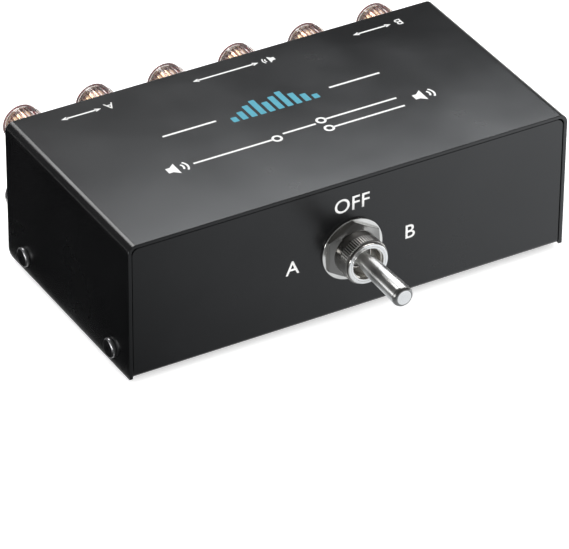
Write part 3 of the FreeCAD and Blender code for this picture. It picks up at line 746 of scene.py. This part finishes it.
@dataclass
class Enclosure:
    """Bent cover and chassis with broken sheet edges."""

    edge: float = 0.16

    def build(self) -> None:
        """Make both sheets from their CAD shapes, leave room for ink, soften the cut edges."""
        for node in ("cover", "chassis"):
            sheet = copy_node(node, node + "_sheet")
            if node == "cover":
                with editing(sheet):
                    choose(sheet, lambda spot: spot.z > COVER_TOP - 0.001)
                    shift((0, 0, -INK_FILM))
            smooth(sheet, 28.0)
            soften(sheet, self.edge)
            finish_piece(sheet, BLACK_COAT, "enclosure", [node])


@dataclass
class CoverScrews:
    """Pan-head cross-recess screws that hold the cover, two on each side."""

    side: float = 72.5
    places: Sequence[Pair] = ((-19.65, 7.0), (33.75, 7.0))
    head: float = 3.05
    height: float = 1.3
    shank: float = 1.4
    length: float = 5.0
    slot: Triple = (1.74, 0.434, 0.8)
    turns: Sequence[float] = (25, 115)
    worn_and_highlight_from: float = 2.5

    def build(self) -> None:
        """Make one screw and copy it to the four places."""
        pattern = self.make_screw()
        for facing, x in ((Facing.LEFT, -self.side), (Facing.RIGHT, self.side)):
            for y, z in self.places:
                name = f"screw_{facing.name.lower()}_{'front' if y < 0 else 'rear'}"
                screw = place(duplicate(pattern, name), facing.matrix((x, y, z)))
                finish_piece(screw, BLACK_ZINC, "enclosure", ["cover_screws"])
        scrap(pattern)

    def make_screw(self) -> Piece:
        """Turn the screw, punch its cross and brighten its rim: partly wear, partly a painted highlight.

        Returns:
            The screw, on its local Z axis.
        """
        screw = turn_piece("screw_pattern", [
            (self.shank - 0.3, -self.length), (self.shank, 0.3 - self.length), (self.shank, 0),
            (self.head, 0, 0.1), (self.head, self.height, 0.7), (0.5, self.height)], 48, solid=True)
        for turn in self.turns:
            self.punch_slot(screw, turn)
        paint(screw, (BLACK_ZINC, WORN_ZINC_AND_HIGHLIGHT),
              lambda radius, height: int(height > 0.2 and radius > self.worn_and_highlight_from))
        smooth(screw, 35.0)
        return screw

    def punch_slot(self, screw: Piece, turn: float) -> None:
        """Punch one slot of the cross.

        Args:
            screw: The screw, on its local Z axis.
            turn: The slot's direction in degrees.
        """
        length, width, depth = self.slot
        top = (0, 0, self.height)
        punch = new_piece("punch", bpy.ops.mesh.primitive_cube_add, size=MM, location=mm(top))
        with editing(punch):
            stretch((length, width, 2 * depth), top)
        place(punch, Matrix.Rotation(math.radians(turn), 4, "Z"))
        take(screw)
        cut = screw.modifiers.new("cross", "BOOLEAN")
        cut.operation = "DIFFERENCE"
        cut.object = punch
        cut.solver = "EXACT"
        bpy.ops.object.modifier_apply(modifier=cut.name)
        scrap(punch)


# ---- toggle ----


@dataclass
class PanelHardware:
    """Washer, hexagon nut and round dress nut on the toggle's bushing."""

    bore: float = 6.0
    washer_rim: float = 9.95
    washer_top: float = 0.8
    hex_flat: float = 8.35
    hex_top: float = 2.6
    hex_cone: float = 1.1
    collar: float = 6.95
    knurl_from: float = 5.4
    knurl_to: float = 8.75
    knurl: float = 7.1
    knurl_depth: float = 0.33
    knurl_teeth: int = 60
    groove: float = 6.3
    lip: float = 6.55
    lip_line: float = 5.66
    lip_bore: float = 4.95
    lip_from: float = 9.15
    front: float = 9.7
    seat: Matrix = field(default_factory=Matrix)

    def build(self) -> None:
        """Make the three pieces."""
        for piece, node, finish in ((self.make_washer(), "plain_washer", WASHER_NICKEL),
                                    (self.make_hex_nut(), "hex_nut", HEX_NICKEL_PAINTED_SHADE),
                                    (self.make_dress_nut(), "dress_nut", NICKEL)):
            smooth(piece, 26.0)
            place(piece, self.seat)
            finish_piece(piece, finish, "enclosure", [node])

    def make_washer(self) -> Piece:
        """Turn the flat washer with its rolled outer edge.

        Returns:
            The washer, on its local Z axis.
        """
        return turn_piece("flat_washer", [
            (self.bore, 0), (self.washer_rim, 0, 0.1), (self.washer_rim, self.washer_top, 0.12),
            (self.bore, self.washer_top), (self.bore, 0)], 144)

    def make_hex_nut(self) -> Piece:
        """Turn a ring with a conical top and cut its six flats.

        Returns:
            The nut, on its local Z axis.
        """
        corner = self.hex_flat / math.cos(math.pi / 6)
        low, high = self.washer_top, self.hex_top
        nut = turn_piece("hexagon_nut", [
            (self.bore, low), (corner, low), (corner, high - self.hex_cone), (self.collar + 0.15, high),
            (self.bore + 0.35, high), (self.bore, high - 0.35), (self.bore, low)], 144)
        for side in range(6):
            angle = math.radians(60 * side)
            normal = Vector((math.cos(angle), math.sin(angle), 0))
            with editing(nut):
                bpy.ops.mesh.bisect(plane_co=normal * self.hex_flat * MM, plane_no=normal,
                                    clear_outer=True, use_fill=True)
        soften(nut, 0.07, 1, 20.0)
        return nut

    def make_dress_nut(self) -> Piece:
        """Turn the dress nut, press its straight knurl and finish its bands.

        Returns:
            The nut, on its local Z axis.
        """
        nut = turn_piece("round_dress_nut", [
            (self.bore, self.hex_top), (self.collar, self.hex_top, 0.15),
            (self.collar, self.knurl_from - 0.12), (self.knurl, self.knurl_from),
            (self.knurl, self.knurl_to - 0.25), (self.knurl - 0.3, self.knurl_to),
            (self.groove, self.knurl_to), (self.groove, self.lip_from),
            (self.lip, self.lip_from), (self.lip, self.front, 0.3),
            (self.lip_line + 0.06, self.front, 0.05), (self.lip_line, self.front - 0.09),
            (self.lip_line - 0.06, self.front, 0.05), (self.lip_bore, self.front, 0.25),
            (self.lip_bore, self.knurl_to - 0.2), (self.bore, self.knurl_to - 0.2),
            (self.bore, self.hex_top)], self.knurl_teeth * 4, arc=4)
        Grooves(self.knurl, self.knurl_depth, self.knurl_teeth, 4, (3,)).press(nut)
        paint(nut, (NICKEL, KNURLED, KNURL_ROOT_PAINTED_SHADE, DULL_NICKEL_PAINTED_SHADE, CHROME_TIP), self.band)
        return nut

    def band(self, radius: float, height: float) -> int:
        """Tell which band of the dress nut a face belongs to.

        Args:
            radius: Radius of a face's centre.
            height: Its height.

        Returns:
            0 inside, 1 knurl, 2 its roots, darkened as painted shade, 3 waist, duller and darkened as
            painted shade, 4 lip face.
        """
        if radius > self.bore + 0.3 and self.knurl_from < height < self.knurl_to - 0.2:
            return 2 if radius < self.knurl - 0.08 else 1
        if radius > self.bore + 0.1 and height < self.lip_from:
            return 3
        return 4 if height > self.front - 0.02 else 0


@dataclass
class ToggleSwitch:
    """Threaded bushing with its ball seat, and the bat lever."""

    bushing: float = 5.95
    flange: float = 6.6
    flange_at: float = -5.8
    pitch: float = 0.75
    reach: float = 8.6
    mouth: float = 4.72
    throat: float = 3.45
    throat_at: float = 4.3
    chamber: float = 4.05
    pivot: float = 2.2
    ball: float = 3.85
    neck: Station = (1.95, 5.7)
    swell: Sequence[Station] = ((2.12, 7.0), (2.55, 9.3), (2.86, 12.2))
    tip: float = 3.25
    tip_at: float = 29.5
    tip_corner: float = 1.25
    tail: float = 1.7
    tail_to: float = -9.6
    seat: Matrix = field(default_factory=Matrix)

    def build(self) -> None:
        """Make bushing and lever."""
        bushing = place(self.make_bushing(), self.seat)
        finish_piece(bushing, NICKEL, "enclosure", ["toggle_bushing"])
        lever = place(self.make_lever(), self.seat)
        finish_piece(lever, CHROME, "lever", ["toggle_lever"])

    def make_bushing(self) -> Piece:
        """Turn the bushing: thread, mouth cone, seat lip and stake.

        Returns:
            The bushing, on its local Z axis.
        """
        low = self.flange_at
        bushing = turn_piece("threaded_bushing", [
            (self.chamber, low), (self.flange, low, 0.2), (self.flange, low + 0.7),
            (self.bushing, low + 0.7),
            *turned_thread(self.bushing, 0.3, self.pitch, low + 0.8, self.reach - 0.6),
            (self.bushing, self.reach - 0.4), (self.bushing - 0.35, self.reach),
            (self.mouth, self.reach), (self.throat + 0.35, self.throat_at + 0.25),
            (self.throat + 0.3, self.throat_at + 0.5), (self.throat + 0.05, self.throat_at + 0.5, 0.08),
            (self.throat, self.throat_at - 0.1), (self.chamber - 0.1, self.pivot + 0.8),
            (self.chamber, self.pivot), (self.chamber, low)], 120)
        smooth(bushing, 32.0)
        return bushing

    def make_lever(self) -> Piece:
        """Turn the lever: tail, ball, neck and bat.

        Returns:
            The lever, on its local Z axis.
        """
        ball = [(self.ball * math.cos(a), self.pivot + self.ball * math.sin(a))
                for a in (math.radians(degrees) for degrees in range(-62, 59, 8))]
        lever = turn_piece("bat_lever", [
            (self.tail - 0.5, self.tail_to), (self.tail, self.tail_to + 0.3), (self.tail, -1.4),
            *ball, self.neck, *self.swell, (self.tip, self.tip_at - 1.8),
            (self.tip, self.tip_at, self.tip_corner),
            (self.tip - self.tip_corner - 0.02, self.tip_at)], 96, solid=True, arc=8)
        smooth(lever, 40.0)
        paint(lever, (CHROME, CHROME_TIP, CHROME_CORNER_PAINTED_SHADE), self.lever_zone)
        return lever

    def lever_zone(self, radius: float, height: float) -> int:
        """Tell which zone of the lever a face belongs to.

        Args:
            radius: Radius of a face's centre.
            height: Its height.

        Returns:
            0 its sides, 1 the polished end, 2 the rounded corner, darkened as painted shade.
        """
        if height > self.tip_at - 0.02:
            return 1
        return 2 if height > self.tip_at - 1.2 else 0


# ---- binding posts ----


class Polarity(Enum):
    """The rows: finishes of moulding, grip end, painted rib shade, socket lining with painted shade, slot
    and collars' node.
    """

    PLUS = (RED_CLEAR, RED_FACE, RED_RIB_PAINTED_SHADE, RED_SOCKET_LINING_AND_SHADE, "red_clear", "red_collars")
    MINUS = (SMOKE_CLEAR, SMOKE_FACE, SMOKE_RIB_PAINTED_SHADE, SMOKE_SOCKET_LINING_AND_SHADE, "smoke_clear", "black_collars")


@dataclass
class BindingPosts:
    """Twelve screw-cap posts: stud, collar, metal core and clear grip."""

    columns: Sequence[float] = tuple(range(60, -61, -24))
    rows: Sequence[float] = (35.5, 11.5)
    stud: float = 3.0
    stud_tail: float = 2.5
    tail_to: float = -9.5
    pitch: float = 1.0
    socket: float = 2.05
    socket_from: float = 1.9
    stud_reach: float = 13.4
    flange: float = 3.8
    flange_from: float = 1.7
    collar: float = 5.8
    collar_neck: float = 3.9
    collar_bore: float = 2.55
    collar_height: float = 2.9
    panel: float = 1.2
    cap_from: float = 3.05
    cap_reach: float = 15.4
    core_bore: float = 3.05
    core: float = 4.2
    ring: float = 4.45
    mouth: float = 2.63
    grip: float = 6.25
    rib: float = 0.3
    ribs: int = 30

    def build(self) -> None:
        """Make one pattern of each piece and copy it to every post."""
        patterns = {"stud": self.make_stud(), "collar": self.make_collar(),
                    "core": self.make_core(), "grip": self.make_grip()}
        for piece in patterns.values():
            smooth(piece, 38.0)
        places = [(x, z, polarity) for z, polarity in zip(self.rows, Polarity) for x in self.columns]
        for number, (x, z, polarity) in enumerate(places, 1):
            self.fit_post(number, Facing.REAR.matrix((x, REAR_PANEL, z)), polarity, patterns)
        for piece in patterns.values():
            scrap(piece)

    def fit_post(self, number: int, seat: Matrix, polarity: Polarity, patterns: dict[str, Piece]) -> None:
        """Copy the patterns to one post.

        Args:
            number: The post's number, 1 to 12.
            seat: Its place on the rear panel.
            polarity: Its row.
            patterns: Pattern pieces by name.
        """
        clear, end, groove, lining_and_shade, slot, collars = polarity.value
        for kind, finish, body, its_slot, node in (
                ("stud", GOLD, "enclosure", "gold", "post_studs"),
                ("collar", clear, "enclosure", slot, collars),
                ("core", GOLD, f"cap_{number}_core", "gold", f"cap_insert_{number}"),
                ("grip", clear, f"cap_{number}", slot, f"cap_grip_{number}")):
            piece = duplicate(patterns[kind], f"{kind}_{number}")
            # A grip's faces between the ribs take painted shade.
            if kind == "grip":
                paint(piece, (clear, end, groove), self.grip_zone)
            # A stud's socket takes its lining colour with painted shade.
            if kind == "stud":
                paint(piece, (GOLD, lining_and_shade), self.stud_zone)
            place(piece, seat)
            finish_piece(piece, finish, body, [node])

    def stud_zone(self, radius: float, height: float) -> int:
        """Return the stud's zone: 1 inside the socket and on the end, coloured as lining and painted
        shade, 0 elsewhere.
        """
        lined = radius < self.socket + 0.02 or height > self.stud_reach - 0.1
        return int(lined and height > 1.0)

    def grip_zone(self, radius: float, height: float) -> int:
        """Tell which zone of the grip a face belongs to.

        Args:
            radius: Radius of a face's centre.
            height: Its height.

        Returns:
            0 clear, 1 its end in full colour, 2 between the ribs, darkened as painted shade.
        """
        if height > self.cap_reach - 0.95 and radius > self.ring + 0.1:
            return 1
        between = self.grip - 0.4 < radius < self.grip - 0.2 and 4.7 < height < self.cap_reach - 2.6
        return 2 if between else 0

    def make_stud(self) -> Piece:
        """Turn the stud: tail, flange, threaded barrel and socket.

        Returns:
            The stud, on its local Z axis.
        """
        tail, reach = self.stud_tail, self.stud_reach
        return turn_piece("stud_pattern", [
            (tail - 0.3, self.tail_to), (tail, self.tail_to + 0.3), (tail, self.flange_from),
            (self.flange, self.flange_from), (self.flange, self.collar_height),
            (self.stud, self.collar_height),
            *turned_thread(self.stud, 0.28, self.pitch, self.collar_height + 0.3, reach - 1.0),
            (self.stud, reach - 0.3), (self.stud - 0.3, reach), (self.socket + 0.3, reach),
            (self.socket, reach - 0.3), (self.socket, self.socket_from),
            (0.4, self.socket_from - 0.6)], 48, solid=True)

    def make_collar(self) -> Piece:
        """Turn the insulating collar with its neck in the panel.

        Returns:
            The collar, on its local Z axis.
        """
        bore, neck, room = self.collar_bore, self.collar_neck, self.flange + 0.05
        return turn_piece("collar_pattern", [
            (bore, -self.panel), (neck, -self.panel), (neck, 0), (self.collar, 0, 0.15),
            (self.collar, self.collar_height, 0.45), (room, self.collar_height),
            (room, self.flange_from), (bore, self.flange_from), (bore, -self.panel)], 72)

    def make_core(self) -> Piece:
        """Turn the cap's metal core with its bright front ring.

        Returns:
            The core, on its local Z axis.
        """
        back, reach = self.cap_from, self.cap_reach
        return turn_piece("core_pattern", [
            (self.core_bore, back), (self.core, back), (self.core, reach - 0.6),
            (self.ring, reach - 0.6), (self.ring, reach - 0.12, 0.1),
            (self.ring - 0.35, reach, 0.15), (3.55, reach, 0.1), (self.mouth, reach - 0.55, 0.1),
            (self.mouth, reach - 1.6), (self.core_bore, reach - 1.6), (self.core_bore, back)], 72)

    def make_grip(self) -> Piece:
        """Turn the clear grip and press its ribs.

        Returns:
            The grip, on its local Z axis.
        """
        back, face = self.cap_from, self.cap_reach - 0.1
        root, bore, room = self.grip - self.rib, self.core + 0.05, self.ring + 0.05
        grip = turn_piece("grip_pattern", [
            (bore, back), (root, back, 0.35), (root, back + 1.3), (self.grip, back + 1.6),
            (self.grip, face - 2.5), (root, face - 2.2), (root + 0.1, face - 1.2),
            (root, face, 0.75), (room, face), (room, face - 0.5),
            (bore, face - 0.5), (bore, back)], self.ribs * 6, arc=6)
        Grooves(self.grip, self.rib, self.ribs, 6, (3, 4, 5)).press(grip)
        return grip


# ---- marks ----


class Panel(Enum):
    """How marks lie: turns in degrees about X, then about Z."""

    FRONT = (90, 0)
    REAR = (90, 180)
    TOP = (0, 0)
    TOP_FROM_BEHIND = (0, 180)

    def seat(self, x: float, y: float, z: float) -> Matrix:
        """Seat a mark that is drawn in local XY.

        Args:
            x: Place of the mark's local origin, to the right.
            y: To the rear.
            z: Upwards.

        Returns:
            The place as a matrix.
        """
        tilt, turn = (math.radians(angle) for angle in self.value)
        return (Matrix.Translation(Vector((x, y, z)) * MM)
                @ (Matrix.Rotation(turn, 4, "Z") @ Matrix.Rotation(tilt, 4, "X")))


@dataclass
class PanelMarks:
    """Screen-printed marks: positions, polarity, sides and plain pictograms."""

    front: float = -30.25
    top: float = COVER_TOP - INK_FILM
    stroke: float = 0.72
    capital: float = 4.8
    small_capital: float = 3.15
    capital_share: float = 0.729
    sign: Pair = (4.2, 0.95)
    stub: Pair = (1.66, 1.29)
    dash: float = 0.75
    levels: Sequence[float] = (2.6, 4.4, 6.6, 8.2, 5.6, 7.4, 8.8, 6.2, 4.2, 2.4)
    ring: float = 1.3
    head: float = 1.25
    rear_edge: float = 38.0
    made: int = 0

    def build(self) -> None:
        """Print the front, the rear and the top."""
        self.print_front()
        self.print_rear()
        self.print_top()
        self.print_diagram()
        self.print_rear_edge()

    def settle(self, mark: Piece, seat: Matrix, ink: Finish = WHITE_INK) -> None:
        """Give a flat mark its film, place and ink.

        Args:
            mark: The mark, flat in local XY.
            seat: Place of the local origin.
            ink: The ink.
        """
        self.made += 1
        mark.name = mark.data.name = f"mark_{self.made}"
        with editing(mark):
            weld()
            extrude((0, 0, INK_FILM))
            bpy.ops.mesh.select_all(action="SELECT")
            bpy.ops.mesh.normals_make_consistent(inside=False)
        place(mark, seat)
        finish_piece(mark, ink, "enclosure")

    def letter(self, text: str, height: float, seat: Matrix) -> None:
        """Print a letter or a short position mark.

        Args:
            text: The characters.
            height: Capital height.
            seat: Place of its centre.
        """
        words = new_piece("words", bpy.ops.object.text_add, location=(0, 0, 0))
        words.data.body = text
        words.data.align_x = "CENTER"
        words.data.size = height * MM / self.capital_share
        words.data.offset = 0.006 * words.data.size
        words.data.space_character = 1.04
        words.data.resolution_u = 6
        bpy.ops.object.convert(target="MESH")
        mark = place(bpy.context.object, Matrix.Translation((0, -height * MM / 2, 0)))
        self.settle(mark, seat)

    def bar(self, width: float, height: float, seat: Matrix, at: Pair = (0, 0),
            ink: Finish = WHITE_INK) -> None:
        """Print a bar with slightly rounded corners.

        Args:
            width: Along local X.
            height: Along local Y.
            seat: Place of the local origin.
            at: Centre in local XY.
            ink: The ink.
        """
        centre = (*at, 0)
        mark = new_piece("bar", bpy.ops.mesh.primitive_plane_add, size=MM, location=mm(centre))
        with editing(mark):
            stretch((width, height, 1), centre)
            bpy.ops.mesh.bevel(offset=min(width, height) * 0.12 * MM, segments=3, affect="VERTICES")
        self.settle(settle_place(mark), seat, ink)

    def arc(self, radius: float, width: float, sweep: float, at: Pair, seat: Matrix) -> None:
        """Print an arc that opens to local +X, or a ring, by spinning a short edge.

        Args:
            radius: Middle radius.
            width: Line width.
            sweep: Angle in degrees.
            at: Centre of the arc.
            seat: Place of the local origin.
        """
        start = math.radians(-sweep / 2)
        ray = Vector((math.cos(start), math.sin(start), 0))
        centre = Vector((*at, 0))
        mark = new_piece("arc", bpy.ops.mesh.primitive_plane_add, size=MM, location=(0, 0, 0))
        with editing(mark):
            choose(mark, lambda spot: spot.y > 0)
            bpy.ops.mesh.delete(type="VERT")
        for vertex, side in zip(mark.data.vertices, (-1, 1)):
            vertex.co = (centre + ray * (radius + side * width / 2)) * MM
        with editing(mark):
            bpy.ops.mesh.spin(steps=max(8, int(sweep / 6)), angle=-math.radians(sweep),
                              center=centre * MM, axis=(0, 0, 1))
        self.settle(mark, seat)

    def loudspeaker(self, height: float, seat: Matrix) -> None:
        """Print the plain pictogram of a loudspeaker.

        Args:
            height: Height of its cone.
            seat: Place of its centre.
        """
        box = (-0.3 * height, 0, 0)
        mark = new_piece("cone", bpy.ops.mesh.primitive_plane_add, size=MM, location=mm(box))
        with editing(mark):
            stretch((0.24 * height, 0.42 * height, 1), box)
            choose(mark, lambda spot: spot.x > 0)
            extrude((0.3 * height, 0, 0))
            stretch((1, 2.2, 1))
        self.settle(settle_place(mark), seat)
        for radius in (0.3, 0.52):
            self.arc(radius * height, 0.1 * height, 84, (0.16 * height, 0), seat)

    def two_way(self, length: float, seat: Matrix) -> None:
        """Print a line with an arrowhead at each end, for signals both ways.

        Args:
            length: Over both heads.
            seat: Place of its centre.
        """
        self.bar(length - 3.0, 0.6, seat)
        for side in (-1, 1):
            head = new_piece("head", bpy.ops.mesh.primitive_circle_add, vertices=3,
                             radius=self.head * MM, fill_type="NGON")
            with editing(head):
                bpy.ops.transform.rotate(value=math.radians(90 * side), orient_axis="Z",
                                         center_override=(0, 0, 0))
                stretch((1, 0.8, 1))
                shift((side * (length / 2 - self.head), 0, 0))
            self.settle(head, seat)

    def print_front(self) -> None:
        """Print the lever's three positions."""
        for text, x, z in (("OFF", 0, 38.8), ("A", -19.4, 23.0), ("B", 19.55, 23.1)):
            self.letter(text, self.capital, Panel.FRONT.seat(x, self.front, z))

    def print_rear(self) -> None:
        """Print polarity, sides and the group marks."""
        for x in (48, 0, -48):
            plus, minus = (Panel.REAR.seat(x, REAR_PANEL, z) for z in (34.8, 11.3))
            self.bar(*self.sign, plus)
            for side in (-1, 1):
                self.bar(self.sign[1], self.stub[0], plus, (0, side * self.stub[1]))
            self.bar(*self.sign, minus)
        height = 22.8
        for text, places in (("R", (60, 12.3, -36.3)), ("L", (35, -12.4, -60.2)), ("B", (48,)),
                             ("A", (-48,))):
            for x in places:
                self.letter(text, self.small_capital, Panel.REAR.seat(x, REAR_PANEL, height))
        self.loudspeaker(4.2, Panel.REAR.seat(0, REAR_PANEL, height))

    def print_top(self) -> None:
        """Print the two dashes and the level bars between them."""
        seat = Panel.TOP.seat(0, 0, self.top)
        for x, width in ((-27.5, 17.6), (27.75, 17.1)):
            self.bar(width, self.dash, seat, (x, 15.7))
        for index, level in enumerate(self.levels):
            self.bar(1.9, level, seat, (-13.5 + 3.0 * index, 12.4 + level / 2), TEAL_INK)

    def print_diagram(self) -> None:
        """Print a plain diagram: a source line, a switch arm and two speaker lines."""
        y = -1.2
        seat = Panel.TOP.seat(0, y, self.top)
        self.bar(26.0, self.stroke, seat, (-22.5, 0))
        self.arc(self.ring, self.stroke, 360, (-8.0, 0), seat)
        self.bar(11.0, self.stroke, seat, (0.2, 1.45))
        for line in (2.4, -2.4):
            self.arc(self.ring, self.stroke, 360, (8.0, line), seat)
            self.bar(24.0, self.stroke, seat, (21.4, line))
        for x in (-41.5, 40.5):
            self.loudspeaker(6.0, Panel.TOP.seat(x, y, self.top))

    def print_rear_edge(self) -> None:
        """Print the groups' marks along the rear edge, read from behind."""
        for text, x in (("A", -49.0), ("B", 49.0)):
            self.letter(text, 3.2, self.rear_edge_seat(x + 7.4))
            self.two_way(13.0, self.rear_edge_seat(x - 2.0))
        self.loudspeaker(3.6, self.rear_edge_seat(12.0))
        self.two_way(22.0, self.rear_edge_seat(-3.0))

    def rear_edge_seat(self, x: float) -> Matrix:
        """Return the place of a mark along the rear edge of the top."""
        return Panel.TOP_FROM_BEHIND.seat(x, self.rear_edge, self.top)


# ---- studio ----

MATT = {"Roughness": 0.9, "Specular_IOR_Level": 0.0}


@dataclass
class Softbox:
    """A rectangular area light that only gloss sees."""

    name: str
    at: Triple
    towards: Triple
    size: Pair
    power: float

    def hang(self) -> None:
        """Put the light in place."""
        light = new_piece(self.name, bpy.ops.object.light_add, type="AREA", location=self.at)
        light.data.shape = "RECTANGLE"
        light.data.size, light.data.size_y = self.size
        light.data.energy = self.power
        aim = Vector(self.towards) - Vector(self.at)
        light.rotation_mode = "QUATERNION"
        light.rotation_quaternion = aim.to_track_quat("-Z", "Y")
        light.visible_camera = light.visible_diffuse = False


class Spread(Enum):
    """How a glow fades over a card."""

    RAMP = "LINEAR"
    ROUND = "SPHERICAL"


@dataclass(frozen=True)
class Glow:
    """A soft brightening on a card: from its origin over its reach."""

    origin: Pair
    reach: Pair
    strength: float
    spread: Spread = Spread.ROUND

    def add(self, mixer: Mixer) -> Socket:
        """Add the glow's nodes.

        Args:
            mixer: The card's mixer.

        Returns:
            The socket of its strength over the card.
        """
        size = Vector((1 / self.reach[0], 1 / self.reach[1], 0))
        origin = Vector((-self.origin[0] * size.x, -self.origin[1] * size.y, 0))
        mapping = mixer.node("Mapping", Location=origin, Scale=size)
        mixer.link(mixer.place, mapping.inputs["Vector"])
        fade = mixer.node("TexGradient")
        fade.gradient_type = self.spread.value
        mixer.link(mapping.outputs["Vector"], fade.inputs["Vector"])
        part = mixer.node("MapRange", To_Max=self.strength)
        mixer.link(fade.outputs["Fac"], part.inputs["Value"])
        return part.outputs["Result"]


def hide_but_for_gloss(piece: Piece) -> None:
    """Let only glossy reflections see a piece of the set."""
    piece.visible_camera = piece.visible_diffuse = False
    piece.visible_shadow = piece.visible_transmission = False


@dataclass
class ReflectorCard:
    """A level card that only glossy reflections see."""

    name: str
    at: Triple
    size: Pair
    glows: Sequence[Glow] = ()

    def lay(self) -> None:
        """Put the card in place and let it glow."""
        card = new_piece(self.name, bpy.ops.mesh.primitive_plane_add, size=1, location=self.at)
        card.scale = (*self.size, 1)
        settle_place(card)
        card.data.materials.append(self.material())
        hide_but_for_gloss(card)

    def material(self) -> Material:
        """Make the card's glow, or matt black where it has none.

        Returns:
            The material.
        """
        mixer = Mixer(self.name)
        if not self.glows:
            black, _ = mixer.patchy((9.0, 2.0), (0.004, 0.004, 0.004), (0.008, 0.008, 0.008), **MATT)
            return mixer.surface(black)
        total, *others = [glow.add(mixer) for glow in self.glows]
        for part in others:
            both = mixer.node("Math")
            mixer.link(total, both.inputs[0])
            mixer.link(part, both.inputs[1])
            total = both.outputs["Value"]
        lamp = mixer.node("Emission", Color=(0.94, 0.97, 1.0, 1))
        mixer.link(total, lamp.inputs["Strength"])
        return mixer.surface(lamp)


@dataclass
class Studio:
    """Pale floor, soft lights, reflector cards and the camera."""

    floor_half: float = 4.0
    floor_colour: Triple = (0.93, 0.93, 0.93)
    floor_glow: float = 0.5
    ambient: float = 1.25
    wall_radius: float = 3.4
    wall_glow: float = 0.15
    lens: float = 299.1
    sensor: float = 36.0
    eye: Triple = (-0.583761, -0.999150, 0.769142)
    right: Triple = (0.867256, -0.497821, 0.006437)
    up: Triple = (0.271773, 0.484211, 0.831673)
    back: Triple = (-0.417141, -0.719523, 0.555229)
    lights: Sequence[Softbox] = (
        Softbox("high_right", (0.45, 0.16, 0.86), (0, 0.16, 0.02), (0.4, 0.9), 6.0),
        Softbox("bend_fill", (-0.02, 0.48, 0.50), (0, 0, 0.04), (0.42, 0.16), 1.6),
        Softbox("far_right", (1.05, 0.25, 0.30), (0, -0.04, 0.02), (0.5, 0.3), 0.7),
        Softbox("left_low", (-0.55, -0.05, 0.055), (0, -0.05, 0.03), (0.5, 0.10), 1.3))
    cards: Sequence[ReflectorCard] = (
        ReflectorCard("left_card", (-0.3935, 0.30, 0.001), (0.64, 1.3)),
        ReflectorCard("front_card", (0, -0.9305, 0.0012), (0.9, 1.8), [
            Glow((-0.10, 0), (0.25, 1), 1.73, Spread.RAMP)]),
        ReflectorCard("rear_card", (0.145, 0.21, 0.247), (0.33, 0.30), [
            Glow((0.06, 0.13), (0.07, 0.07), 10.0), Glow((0.06, 0.19), (0.07, 0.07), 5.2),
            Glow((0.14, 0.13), (0.07, 0.07), 13.0), Glow((0.14, 0.19), (0.07, 0.07), 3.8),
            Glow((0.22, 0.13), (0.07, 0.07), 18.0), Glow((0.22, 0.19), (0.07, 0.07), 2.4),
            Glow((0.07, 0.27), (0.09, 0.09), 0.6)]))

    def build(self) -> None:
        """Set floor, walls, cards, lights, world and camera."""
        self.lay_floor()
        self.set_room_walls()
        for card in self.cards:
            card.lay()
        for light in self.lights:
            light.hang()
        self.set_world()
        self.set_camera()
        view = bpy.context.scene.view_settings
        view.view_transform = "Standard"
        view.look = "None"
        LOG.info("studio: %d lights, %d cards", len(self.lights), len(self.cards))

    def lay_floor(self) -> None:
        """Lay a large pale floor."""
        floor = new_piece("floor", bpy.ops.mesh.primitive_plane_add, size=2 * self.floor_half,
                          location=(0, 0, 0))
        mixer = Mixer("pale_floor")
        paper, _ = mixer.patchy((3.0, 2.0), shade(self.floor_colour, 0.995), self.floor_colour,
                                Emission_Color=(1, 1, 1, 1), Emission_Strength=self.floor_glow, **MATT)
        floor.data.materials.append(mixer.surface(paper))

    def set_room_walls(self) -> None:
        """Set a dim shell round the set that only gloss sees, so that metal isn't black."""
        walls = new_piece("room_walls", bpy.ops.mesh.primitive_uv_sphere_add, segments=24,
                          ring_count=12, radius=self.wall_radius)
        mixer = Mixer("room_walls")
        walls.data.materials.append(mixer.surface(mixer.node("Emission", Strength=self.wall_glow)))
        hide_but_for_gloss(walls)

    def set_world(self) -> None:
        """Set an even room light that gloss doesn't mirror."""
        world = bpy.data.worlds.new("room")
        world.use_nodes = True
        sky = world.node_tree.nodes["Background"]
        sky.inputs["Color"].default_value = (1, 1, 1, 1)
        sky.inputs["Strength"].default_value = self.ambient
        world.cycles_visibility.glossy = False
        bpy.context.scene.world = world

    def set_camera(self) -> None:
        """Set the long lens on its place."""
        camera = new_piece("camera", bpy.ops.object.camera_add, location=self.eye)
        turn = Matrix((self.right, self.up, self.back)).transposed().to_4x4()
        camera.matrix_world = Matrix.Translation(self.eye) @ turn
        camera.data.lens = self.lens
        camera.data.sensor_fit = "HORIZONTAL"
        camera.data.sensor_width = self.sensor
        camera.data.clip_start, camera.data.clip_end = 0.05, 20.0
        bpy.context.scene.camera = camera


def main() -> None:
    """Build everything in order and report it."""
    logging.basicConfig(level=logging.INFO, format="%(name)s: %(message)s")
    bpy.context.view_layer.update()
    nut_low, nut_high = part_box("dress_nut")
    axis_height = (nut_low.z + nut_high.z) / 2 / MM
    front_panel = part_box("plain_washer")[1].y / MM
    seat = Facing.FRONT.matrix((0, front_panel, axis_height))
    dress_nodes()
    Enclosure().build()
    CoverScrews().build()
    PanelHardware(seat=seat).build()
    ToggleSwitch(seat=seat).build()
    BindingPosts().build()
    PanelMarks().build()
    Studio().build()


if __name__ == "__main__":
    main()
